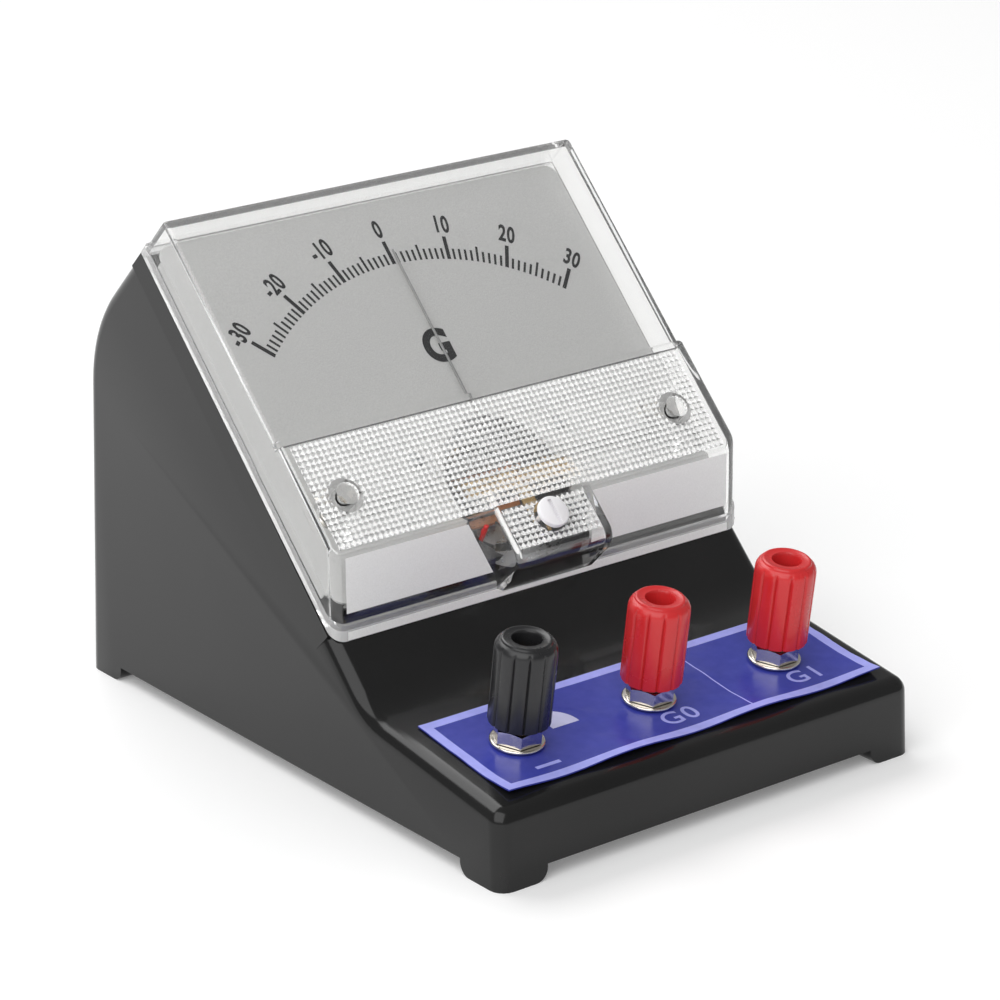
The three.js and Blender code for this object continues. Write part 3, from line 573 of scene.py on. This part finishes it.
def dress(node, material, bevel=0.1, subdivide=0):
    """Gives a CAD node its finish, softened edges and smooth shading."""
    part = frame["nodes"][node]
    part.data.materials.clear()
    part.data.materials.append(material)
    weld = part.modifiers.new("weld", "WELD")
    weld.merge_threshold = 1e-6
    if subdivide:
        smooth = part.modifiers.new("smooth", "SUBSURF")
        smooth.levels = smooth.render_levels = subdivide
    elif bevel:
        soften = part.modifiers.new("soften", "BEVEL")
        soften.width = bevel * MM
        soften.segments = 2
        soften.limit_method = "ANGLE"
        soften.angle_limit = 35 * DEGREE
        soften.harden_normals = False
        flatten = part.modifiers.new("flatten", "WEIGHTED_NORMAL")
        flatten.weight = 100
    part.data.shade_smooth()


# ---------------------------------------------------------------- case
def case_profile():
    """Side view of the case, counter-clockwise in Y and Z."""
    tilt = -POSTS[1][1][2] / POSTS[1][2][2]
    shelf = POSTS[1].translation
    below = -12.0

    def shelf_z(y):
        """Height of the shelf's plane."""
        return shelf.z + (y - shelf.y) * abs(tilt)

    half = CASE_HALF.y
    lip_y = -half + FRONT_DRAFT * 16
    rise = (SLOPE_TOP.y - SLOPE_FOOT.y) / (SLOPE_TOP.x - SLOPE_FOOT.x)
    heel_y = SLOPE_FOOT.x - (SLOPE_FOOT.y - shelf_z(SLOPE_FOOT.x)) / (rise - abs(tilt))
    return [
        (half - BACK_DRAFT * below, below),
        BACK_CREST,
        (*SLOPE_TOP, 1.6),
        (heel_y, shelf_z(heel_y), HEEL_RADIUS),
        (lip_y, shelf_z(lip_y), LIP_RADIUS),
        (-half + FRONT_DRAFT * below, below),
    ]


def drafted(shape):
    """Leans both sides inwards with height."""
    for vertex in shape.verts:
        vertex.co.x *= 1 - SIDE_DRAFT * vertex.co.z / CASE_HALF.x
    return shape


def foot_channel(half_opening, half_span):
    """Outline of what is cleared between two feet and below the ground, seen along it."""
    height, rounding, bottom = FOOT["height"], FOOT["rounding"], -24
    return rounded([
        (-half_span, bottom), (half_span, bottom), (half_span, 0), (half_opening, 0, rounding),
        (half_opening, height), (-half_opening, height), (-half_opening, 0, rounding), (-half_span, 0)])


def seat_pad(half_width):
    """Flat under the cover, a little proud of the slope."""
    proud, deep = 0.06, -5
    seat = [(2, proud), (2, deep), (COVER_LENGTH, deep), (COVER_LENGTH, proud)]
    flat = [SLOPE @ Vector((0, s, n)) for s, n in seat]
    corners = [(point.y, point.z) for point in flat]
    return drafted(beam(corners[::-1], half_width + proud))


def inside_posts():
    """Solid corners above the feet, and the bosses of the four bottom screws."""
    width, depth = CASE_HALF
    past, post_top = 3, 15
    boss_half, boss_low, boss_top = 3.6, 5.8, 16
    posts = []
    for x in (-1, 1):
        for y in (-1, 1):
            near = (x * (width - FOOT["width"]), y * (depth - FOOT["depth"]))
            far = (x * (width + past), y * (depth + past))
            low = [min(pair) for pair in zip(near, far)]
            high = [max(pair) for pair in zip(near, far)]
            posts.append(block((*low, -12), (*high, post_top)))
            screw_x, screw_y = x * SCREW_BOTTOM[0], y * SCREW_BOTTOM[1]
            ends = sorted((screw_y - y * 4, y * (depth + past)))
            posts.append(block(
                (screw_x - boss_half, ends[0], boss_low), (screw_x + boss_half, ends[1], boss_top)))
    return joined(*posts)


def case_openings():
    """What is cut from the case: the gaps between the feet and every hole."""
    width, depth = CASE_HALF
    lengthways = beam([(p.x, p.y) for p in foot_channel(depth - FOOT["depth"], 2 * depth)], 2 * width)
    outline = foot_channel(width - FOOT["width"], 2 * width)
    across = placed(slab(outline, -2 * depth, 2 * depth), Matrix.Rotation(math.pi / 2, 4, "X"))
    movement_hole = placed(rod(MOVEMENT_HOLE, -9, 5, 0, PIVOT_S, sides=96), SLOPE)
    tools = [lengthways, across, movement_hole]
    for side in (-1, 1):
        tools.append(placed(rod(SCREW_HOLE, -10, 5, side * SCREW_X, SCREW_S), SLOPE))
        tools.append(placed(rod(FRAME_HOLE, -5, 5, side * FRAME_SCREW[0], FRAME_SCREW[1]), SLOPE))
        for y in (-1, 1):
            tools.append(rod(SCREW_HOLE, 0, 13.6, side * SCREW_BOTTOM[0], y * SCREW_BOTTOM[1]))
    tools += [placed(rod(STUD_RADIUS + STUD_GAP, -8, 5), post) for post in POSTS]
    return tools


def case_shell():
    """Hollow case with its feet, inside bosses and every hole."""
    profile = case_profile()
    width = CASE_HALF.x
    outer = drafted(beam(profile, width, CASE_EDGE, 16))
    outer = joined(outer, seat_pad(width))
    hollow = drafted(beam(inset(profile, CASE_WALL), width - CASE_WALL, 0, 16))
    middle = drafted(beam(inset(profile, CASE_WALL / 2), width - CASE_WALL / 2, 0, 16))
    inner = combined(inside_posts(), "INTERSECT", middle)
    return cut(joined(cut(outer, hollow), inner), *case_openings())


# ---------------------------------------------------------------- clear cover
def chin(n):
    """Where the cover's front wall stands on the slope, at a height above it."""
    return CHIN_FOOT + n * (BAND_START - CHIN_FOOT) / BAND_HEIGHT


def tub(end, half_width, low, high, edge, shrink=0.0):
    """Solid with upright walls, rounded corners and a rounded top edge, along the slope."""
    rows = [(0.0, low)] + [(depth, high - edge + rise) for depth, rise in fillet(edge)]
    rings = []
    for depth, n in rows:
        gone = depth + shrink
        start = chin(n) + gone * CHIN_RUN
        near, far = [max(COVER_CORNERS[corner] - gone, 0.05) for corner in ("chin", "top")]
        outline = rounded([
            (-half_width + gone, start, near), (half_width - gone, start, near),
            (half_width - gone, end - gone, far), (-half_width + gone, end - gone, far)], 6)
        rings.append([(x, s, n) for x, s in outline])
    return loft(rings)


def boss(shrink=0.0):
    """Housing of the zero adjuster: a flat front on a large round underside."""
    foot = -2.0 if shrink else 0.02
    low, high = 0.4 + shrink, BAND_HEIGHT - shrink - 0.03
    back = BAND_START + 4
    corners = [(low, foot), (back, foot), (back, high), (low, high, BOSS_ROUNDING - shrink)]
    return beam(corners, BOSS_HALF - shrink, COVER_EDGE - 0.5 * min(shrink, 1))


def pyramids(x_low, s_low, x_count, s_count, level, thickness):
    """Slab under the cover's face whose lower side is a field of square pyramids."""
    shape = bmesh.new()
    pitch, half = TEXTURE_PITCH, TEXTURE_PITCH / 2
    rows = []
    for j in range(s_count + 1):
        line = [(x_low + i * pitch, s_low + j * pitch, level) for i in range(x_count + 1)]
        rows.append([shape.verts.new(point) for point in line])
    for j in range(s_count):
        for i in range(x_count):
            centre = (x_low + i * pitch + half, s_low + j * pitch + half)
            tip = shape.verts.new((*centre, level - TEXTURE_HEIGHT))
            loop = [rows[j][i], rows[j][i + 1], rows[j + 1][i + 1], rows[j + 1][i]]
            for k in range(4):
                shape.faces.new((loop[k - 1], loop[k], tip))
    right = [row[-1] for row in rows[1:]]
    left = [row[0] for row in rows[-2:0:-1]]
    rim = [*rows[0], *right, *rows[-1][-2::-1], *left]
    top = [shape.verts.new(vertex.co + Vector((0, 0, thickness))) for vertex in rim]
    for k in range(len(rim)):
        shape.faces.new((rim[k - 1], rim[k], top[k], top[k - 1]))
    shape.faces.new(top)
    bmesh.ops.recalc_face_normals(shape, faces=shape.faces)
    return shape


def cover_rim():
    """Low border that stands proud all round the cover's foot."""
    side, end = COVER_HALF + RIM_PROUD, COVER_LENGTH + RIM_PROUD
    near, far = COVER_CORNERS["chin"], COVER_CORNERS["top"]
    rings = []
    for n in (COVER_FOOT, RIM_HEIGHT):
        start = chin(n) - CHIN_RUN * RIM_PROUD
        plan = rounded([
            (-side, start, near), (side, start, near), (side, end, far), (-side, end, far)], 6)
        rings.append([(x, s, n) for x, s in plan])
    return loft(rings)


def cover_walls():
    """Hollow shell of the window, the band, the rim and the boss."""
    outer = joined(
        tub(COVER_LENGTH, COVER_HALF, COVER_FOOT, WINDOW_HEIGHT, COVER_EDGE),
        tub(BAND_END, COVER_HALF + 0.12, 2.0, BAND_HEIGHT, COVER_EDGE),
        placed(boss(), Matrix.Translation((0, 0, COVER_FOOT))))
    outer = joined(outer, cover_rim())
    inner_edge = 0.3
    hollow = joined(
        tub(COVER_LENGTH, COVER_HALF, -2, WINDOW_HEIGHT - COVER_WALL, inner_edge, COVER_WALL),
        tub(BAND_END, COVER_HALF, -1, BAND_HEIGHT - COVER_WALL, inner_edge, COVER_WALL + 0.02),
        boss(COVER_WALL))
    return cut(outer, hollow)


def choose_finish(shell):
    """Gives each face its material: clear, textured, rim, or a hazier, paler copy on the pyramid sides
    that lean towards +X, a painted highlight that makes those facets read as the lit ones.
    """
    for face in shell.faces:
        height = face.calc_center_median().z
        in_texture = TEXTURE_LEVEL - TEXTURE_HEIGHT - 0.2 < height < TEXTURE_LEVEL - 0.1
        faceted = in_texture and 0.7 < abs(face.normal.z) < 0.95
        # The rim gets a hazier, paler copy of the plastic: painted reflection of the light caught
        # inside the thick rim.
        in_rim = height < RIM_HEIGHT + 0.01
        # Painted highlight: pyramid sides leaning towards +X get the hazier, paler copy of the plastic.
        lit = faceted and face.normal.x > 0.3
        face.material_index = 3 if lit else 1 if faceted else 2 if in_rim else 0


def meter_cover():
    """Clear moulding: window, band, chin, rim, boss and the two screw wells."""
    shell = cover_walls()
    columns, rows, boss_columns, boss_rows = 76, 18, 16, 7
    thickness, sunk = 0.5, 0.2
    boss_start = TEXTURE_START - 7.8 * TEXTURE_PITCH
    field = pyramids(
        -columns / 2 * TEXTURE_PITCH, TEXTURE_START, columns, rows, TEXTURE_LEVEL - 0.1, thickness)
    front = pyramids(
        -boss_columns / 2 * TEXTURE_PITCH, boss_start, boss_columns, boss_rows,
        TEXTURE_LEVEL - 0.12, thickness)
    stands = [
        rod(WELL["radius"], DIAL_FACE + 0.3, BAND_HEIGHT - sunk, side * SCREW_X, SCREW_S)
        for side in (-1, 1)]
    collar_radius, stem_hole = 3.3, 2.2
    collar = rod(collar_radius, TEXTURE_LEVEL - 0.5, BAND_HEIGHT - sunk, 0, ADJUSTER_S)
    shell = joined(shell, field, front, *stands, collar)
    bores = [rod(WELL["bore"], WELL["floor"], 20, side * SCREW_X, SCREW_S) for side in (-1, 1)]
    holes = [rod(SCREW_HOLE, -5, 20, side * SCREW_X, SCREW_S) for side in (-1, 1)]
    shell = cut(shell, *bores, *holes, rod(stem_hole, 5, 20, 0, ADJUSTER_S))
    shell.normal_update()
    choose_finish(shell)
    return shell


def frosted_panels():
    """Etched skins: on the chin at each side of the boss, and along the foot."""
    skin_depth, lift = 0.04, 0.02

    def skin(levels, out, left, right, slant=0.0):
        """Thin sheet on the front wall between two heights, its right end leaning in by the slant."""
        rings = []
        for n, lean in zip(levels, (0.0, slant)):
            start, end = chin(n) - CHIN_RUN * out, right - lean
            front = start - skin_depth
            rings.append([(left, start, n), (end, start, n), (end, front, n), (left, front, n)])
        return loft(rings)

    inner, outer = CHIN_PANEL["inner"], CHIN_PANEL["outer"]
    return gathered([
        skin(CHIN_PANEL["levels"], lift, -outer, -inner, CHIN_PANEL["slant"]),
        skin(CHIN_PANEL["levels"], lift, inner, outer),
        skin(CHIN_PANEL["foot"], RIM_PROUD + lift, -outer, outer)])


def pan_screw(radius, shank, tip, low, high):
    """Pan-head screw with a cross recess."""
    dome = [(radius * (1 - 0.12 * t * t), high - (high - low) * 0.55 * (1 - t)) for t in (0, 0.5, 1)]
    crown = [(0.6 * radius, high + 0.12), (0, high + 0.16)]
    body = turned([(0, tip), (shank, tip), (shank, low), (radius, low), *dome, *crown], sides=32)
    reach, half, depth = 0.66 * radius, 0.17 * radius, 0.55 * radius
    return cut(
        body,
        block((-reach, -half, high - depth), (reach, half, high + 1)),
        block((-half, -reach, high - depth), (half, reach, high + 1)))


def zero_adjuster():
    """Slotted disc with its stem and off-centre pin."""
    low, high = BAND_HEIGHT + 0.3, BAND_HEIGHT + 1.3
    disc, stem, stem_low = 3.15, 1.9, 10.4
    pin, pin_low, throw = 0.5, 6.6, 1.2
    slot_half, slot_reach, slot_depth = 0.42, 2.4, 0.75
    body = turned([
        (0, stem_low), (stem, stem_low), (stem, low), (disc, low), (disc, high - 0.35),
        (disc - 0.1, high - 0.12), (disc - 0.3, high), (0, high + 0.05)], sides=64)
    body = joined(body, rod(pin, pin_low, stem_low + 0.2, 0, throw, sides=24))
    slot = block((-slot_half, -slot_reach, high - slot_depth), (slot_half, slot_reach, high + 1))
    return cut(body, slot)


# ---------------------------------------------------------------- dial print
def lettering(text, height, condensed, weight, lift):
    """Flat letters of the built-in face, with a thickness, centred on the origin."""
    capital_height = 0.73
    curve = bpy.data.curves.new("work", "FONT")
    curve.body = text
    curve.align_x = "CENTER"
    curve.align_y = "CENTER"
    curve.size = height / capital_height
    curve.offset = weight
    curve.space_character = 1.12
    curve.extrude = lift
    curve.resolution_u = 6
    work = bpy.data.objects.new("work", curve)
    bpy.context.scene.collection.objects.link(work)
    graph = bpy.context.evaluated_depsgraph_get()
    shape = bmesh.new()
    shape.from_mesh(work.evaluated_get(graph).to_mesh())
    bpy.data.curves.remove(curve)
    shape.transform(Matrix.Diagonal((condensed, 1, 1, 1)))
    bmesh.ops.remove_doubles(shape, verts=shape.verts, dist=1e-4)
    return shape


def gathered(shapes):
    """One mesh of several separate shapes."""
    whole = bmesh.new()
    for shape in shapes:
        mesh = bpy.data.meshes.new("work")
        shape.to_mesh(mesh)
        shape.free()
        whole.from_mesh(mesh)
        bpy.data.meshes.remove(mesh)
    return whole


SCALE = {"inner": 51.6, "minor": 54.0, "five": 55.0, "major": 56.7, "digits": 59.3, "step": 1.39,
         "broad": 0.4, "narrow": 0.24, "digit_height": 3.8, "letter_height": 7.0}
UNIT_PLACE = (0.3, 50.3)                 # X and distance up the slope


def dial_print():
    """Scale from -30 to 30, its numbers and the unit letter."""
    ink = 0.03
    shapes = []
    for division in range(-30, 31):
        turn = Matrix.Rotation(-division * SCALE["step"] * DEGREE, 4, "Z")
        kind = "major" if division % 10 == 0 else "five" if division % 5 == 0 else "minor"
        half = SCALE["broad"] if kind == "major" else SCALE["narrow"]
        tick = block((-half, SCALE["inner"], 0), (half, SCALE[kind], ink))
        shapes.append(placed(tick, turn))
        if kind == "major":
            digits = lettering(str(division), SCALE["digit_height"], 0.64, 0.15, ink / 2)
            shapes.append(placed(digits, turn @ Matrix.Translation((0, SCALE["digits"], ink / 2))))
    letter = lettering("G", SCALE["letter_height"], 0.9, 0.4, ink / 2)
    place = (UNIT_PLACE[0], UNIT_PLACE[1] - PIVOT_S, ink / 2)
    shapes.append(placed(letter, Matrix.Translation(place)))
    return placed(gathered(shapes), Matrix.Translation((0, PIVOT_S, DIAL_FACE)))


# ---------------------------------------------------------------- label film
def buckle(x, y):
    """How far the loose film stands off the shelf."""
    flat, run, curl, ripple_height = 4.0, 7.0, 0.55, 0.10
    edge = max(0.0, (-y - flat) / run)
    lift = curl * edge * edge * (0.6 + 0.4 * math.cos(2 * math.pi * (x - 16) / TERMINAL_PITCH))
    between = math.exp(-((abs(x) % TERMINAL_PITCH - 15) / 6) ** 2)
    ripple = ripple_height * math.sin(x * 0.42 + 0.6 * y) * between
    return max(0.0, lift + max(0.0, ripple))


def label_film():
    """Thin buckled sheet with a pale border and a line between its last two cells."""
    shape = bmesh.new()
    left, right, front, back = (LABEL[side] for side in ("left", "right", "front", "back"))
    border, line = LABEL["border"], LABEL["line"]
    divider = TERMINAL_PITCH / 2
    edges = {left, right, left + border, right - border, divider - line / 2, divider + line / 2}
    columns, lines = 170, 50
    wide, deep = right - left - 2 * border, back - front - 2 * border
    xs = sorted({*edges, *[left + border + k * wide / columns for k in range(1, columns)]})
    ys = sorted({front, back, *[front + border + k * deep / lines for k in range(lines + 1)]})
    rows = {}
    for x in xs:
        for y in ys:
            for top in (0, 1):
                height = LABEL["low"] + buckle(x, y) + top * LABEL["thick"]
                rows[x, y, top] = shape.verts.new((x, y, height))
    for x0, x1 in zip(xs, xs[1:]):
        for y0, y1 in zip(ys, ys[1:]):
            x, y = (x0 + x1) / 2, (y0 + y1) / 2
            loop = [(x0, y0), (x1, y0), (x1, y1), (x0, y1)]
            face = shape.faces.new([rows[a, b, 1] for a, b in loop])
            shape.faces.new([rows[a, b, 0] for a, b in reversed(loop)])
            inside = left + border < x < right - border and front + border < y < back - border
            ruled = abs(x - divider) < line / 2
            face.material_index = 0 if inside and not ruled else 1
    for y0, y1 in zip(ys, ys[1:]):
        for x in (left, right):
            shape.faces.new([rows[x, y0, 0], rows[x, y0, 1], rows[x, y1, 1], rows[x, y1, 0]])
    for x0, x1 in zip(xs, xs[1:]):
        for y in (front, back):
            shape.faces.new([rows[x0, y, 0], rows[x0, y, 1], rows[x1, y, 1], rows[x1, y, 0]])
    bmesh.ops.recalc_face_normals(shape, faces=shape.faces)
    return shape


def on_film(shape):
    """Lays flat print on the buckled film."""
    for vertex in shape.verts:
        vertex.co.z += LABEL["low"] + LABEL["thick"] + 0.02 + buckle(vertex.co.x, vertex.co.y)
    return shape


def label_marks():
    """Minus sign and the two range marks."""
    ink, dash_half, dash_thick = 0.02, 2.7, 0.45
    dash = block((-dash_half, -dash_thick, 0), (dash_half, dash_thick, ink))
    marks = [placed(dash, Matrix.Translation((0.1 - TERMINAL_PITCH, -8.9, 0)))]
    for place, text in enumerate(("G0", "G1")):
        mark = lettering(text, 4.2, 1.1, 0.06, ink / 2)
        marks.append(placed(mark, Matrix.Translation((place * TERMINAL_PITCH + 1.2, -7.5, ink / 2))))
    return on_film(gathered(marks))


def label_patch():
    """White quarter-round printed between the first two terminals."""
    radius = 6.0
    angles = [k * math.pi / 40 for k in range(21)]
    arc = [(radius * math.cos(angle), radius * math.sin(angle)) for angle in angles]
    patch = slab([(0, 0), *arc], 0, 0.02)
    return on_film(placed(patch, Matrix.Translation((8.6 - TERMINAL_PITCH, 0.5, 0))))


# ---------------------------------------------------------------- binding posts
def knob_cap():
    """Fluted cap: wide ribs with narrow grooves between, a rounded crown and a socket."""
    radius, low, socket, hollow = KNOB["radius"], KNOB["floor"], KNOB["socket"], KNOB["hollow"]
    high = low + KNOB["height"]
    rows = [
        (hollow, low + 0.3, 0), (hollow + 0.3, low, 0),
        (radius - 0.3, low, 0.8), (radius - 0.06, low + 0.12, 1),
        (radius, low + 0.35, 1), (radius, high - 2.6, 1), (radius - 0.03, high - 2.0, 0.9),
        (radius - 0.12, high - 1.5, 0.6), (radius - 0.32, high - 1.05, 0.2),
        (radius - 0.62, high - 0.7, 0), (radius - 0.9, high - 0.5, 0),
        (radius - 1.05, high - 0.42, 0), (radius - 1.2, high - 0.12, 0),
        (radius - 1.4, high, 0), (radius - 1.7, high, 0), (radius - 1.9, high - 0.12, 0),
        (socket + 0.2, high - 0.15, 0),
        (socket, high - 0.5, 0), (socket, high - 4, 0), (hollow, high - 4, 0)]
    per_lobe, groove_width, groove_depth = 16, 0.15, 0.42
    sides = KNOB["lobes"] * per_lobe
    shape = bmesh.new()
    rings = []
    for ring_radius, height, depth in rows:
        ring = []
        for i in range(sides):
            phase = (i % per_lobe) / per_lobe
            near = min(phase, 1 - phase)
            groove = max(0.0, 1 - near / groove_width) ** 1.5 * groove_depth
            r = ring_radius - depth * groove
            angle = 2 * math.pi * i / sides
            ring.append(shape.verts.new((r * math.cos(angle), r * math.sin(angle), height)))
        rings.append(ring)
    for k in range(len(rings)):
        lower, upper = rings[k - 1], rings[k]
        for i in range(sides):
            shape.faces.new((lower[i - 1], lower[i], upper[i], upper[i - 1]))
    bmesh.ops.recalc_face_normals(shape, faces=shape.faces)
    return shape


def hex_nut(across_flats, low, high, bore):
    """Chamfered hexagon nut."""
    radius = across_flats / math.sqrt(3)
    angles = [k * math.pi / 3 for k in range(6)]
    corners = [(radius * math.cos(angle), radius * math.sin(angle)) for angle in angles]
    flats = across_flats / 2 - 0.1
    cone = turned([
        (0, low), (radius + 0.1, low), (radius + 0.1, high - 0.4), (flats, high), (0, high)],
        sides=72)
    body = combined(slab(corners, low - 1, high + 1), "INTERSECT", cone)
    funnel = turned([
        (0, low - 1), (bore, low - 1), (bore, high - 0.4), (bore + 0.6, high + 0.2),
        (0, high + 0.2)])
    return cut(body, funnel)


def washer():
    """Flat washer with a round rim."""
    low, high = 0.65, 1.35
    inner, outer, edge = STUD_RADIUS + STUD_GAP, 5.1, 0.34
    rim = [(outer - edge + edge * math.cos(a), (low + high) / 2 + edge * math.sin(a))
           for a in [math.pi * (k / 8 - 0.5) for k in range(9)]]
    return ring_of([(inner, low), *rim, (inner + 0.1, high), (inner, high - 0.1)])


# ---------------------------------------------------------------- the object
def build_case():
    """Case, bottom cover and the four screws under it."""
    piece("case", case_shell(), BLACK, "case", "case_black", "body_shell")
    dress("bottom_cover", BLACK, 0.3)
    for i, (x, y) in enumerate(((-1, -1), (1, -1), (-1, 1), (1, 1))):
        under = Matrix.Translation((x * SCREW_BOTTOM[0], y * SCREW_BOTTOM[1], 0))
        upward = under @ Matrix.Rotation(math.pi, 4, "X")
        piece(f"foot_screw_{i + 1}", pan_screw(**BOTTOM_PAN), STEEL, "case", "steel",
              f"bottom_screw_{i + 1}", place=upward)


def build_cover():
    """Clear cover, its frosted skins, every screw seen through it and the adjuster."""
    piece("cover", meter_cover(), CLEAR, "case", "clear_cover", "meter_cover", place=SLOPE,
          more=(TEXTURED, RIM_PAINTED_REFLECTION, PAINTED_LIT_FACET), limit=20)
    piece("frosted_panels", frosted_panels(), FROSTED, "case", "clear_cover", place=SLOPE)
    for name, side in (("left", -1), ("right", 1)):
        place = SLOPE @ Matrix.Translation((side * SCREW_X, SCREW_S, 0))
        piece(f"well_screw_{name}", pan_screw(**COVER_PAN), NICKEL, "case", "nickel",
              f"cover_screw_{name}", place=place)
        place = SLOPE @ Matrix.Translation((side * DIAL_SCREW[0], DIAL_SCREW[1], 0))
        piece(f"plate_screw_{name}", pan_screw(**DIAL_PAN), STEEL, "case", "steel",
              f"dial_screw_{name}", place=place)
        place = SLOPE @ Matrix.Translation((side * FRAME_SCREW[0], FRAME_SCREW[1], 0))
        piece(f"frame_screw_{name}", pan_screw(**FRAME_PAN), STEEL, "case", "steel",
              f"base_screw_{name}", place=place)
    place = SLOPE @ Matrix.Translation((0, ADJUSTER_S, 0))
    piece("adjuster_disc", zero_adjuster(), WHITE, "adjuster", "white_plastic", "zero_adjuster",
          place=place)


def build_dial():
    """Dial plate and its print."""
    dress("dial_plate", DIAL, 0.08)
    piece("dial_scale", dial_print(), INK, "case", "pointer_black", place=SLOPE)


def build_movement():
    """Finishes of the CAD nodes inside the case."""
    finishes = {
        "movement_base": PHENOLIC, "magnet_yoke": STEEL, "magnet_core": STEEL,
        "core_holder": BRASS, "front_bridge": BRASS, "rear_bridge": BRASS,
        "front_jewel_screw": BRASS, "rear_jewel_screw": BRASS,
        "coil_former": ALUMINIUM, "coil_winding": COPPER, "front_pivot": STEEL, "rear_pivot": STEEL,
        "pointer": POINTER, "counterweight": BRASS,
        "front_hairspring": COPPER, "rear_hairspring": COPPER,
        "zero_lever": BRASS, "series_resistor": LACQUER}
    for node, finish in finishes.items():
        dress(node, finish, 0 if "spring" in node or node == "pointer" else 0.12)
    dress("red_lead", PVC_RED, subdivide=2)
    dress("black_lead", PVC_BLACK, subdivide=2)


def build_posts():
    """Label film with its print, and the three binding posts."""
    piece("label_film", label_film(), FILM_BLUE, "case", "label_blue", "label_plate",
          place=POSTS[1], more=(FILM_PALE,))
    piece("label_marks", label_marks(), FILM_PALE, "case", "label_blue", place=POSTS[1])
    piece("label_patch", label_patch(), FILM_WHITE, "case", "label_blue", place=POSTS[1])
    for name, post in zip(TERMINALS, POSTS):
        cap, slot = (KNOB_BLACK, "knob_black") if name == "common" else (KNOB_RED, "knob_red")
        piece(f"{name}_cap", knob_cap(), cap, f"{name}_cap", slot, f"{name}_knob", place=post)
        piece(f"{name}_hex", hex_nut(**NUT), NICKEL, "case", "nickel", f"{name}_nut",
              place=post)
        piece(f"{name}_disc", washer(), NICKEL, "case", "nickel", f"{name}_washer", place=post)
        piece(f"{name}_lock_hex", hex_nut(**LOCK_NUT), NICKEL, "case", "nickel",
              f"{name}_lock_nut", place=post)
        dress(f"{name}_stud", BRASS, 0.2)
        dress(f"{name}_insert", BRASS, 0.2)
        dress(f"{name}_lug", BRASS, 0.1)


camera()
studio()
build_case()
build_cover()
build_dial()
build_movement()
build_posts()
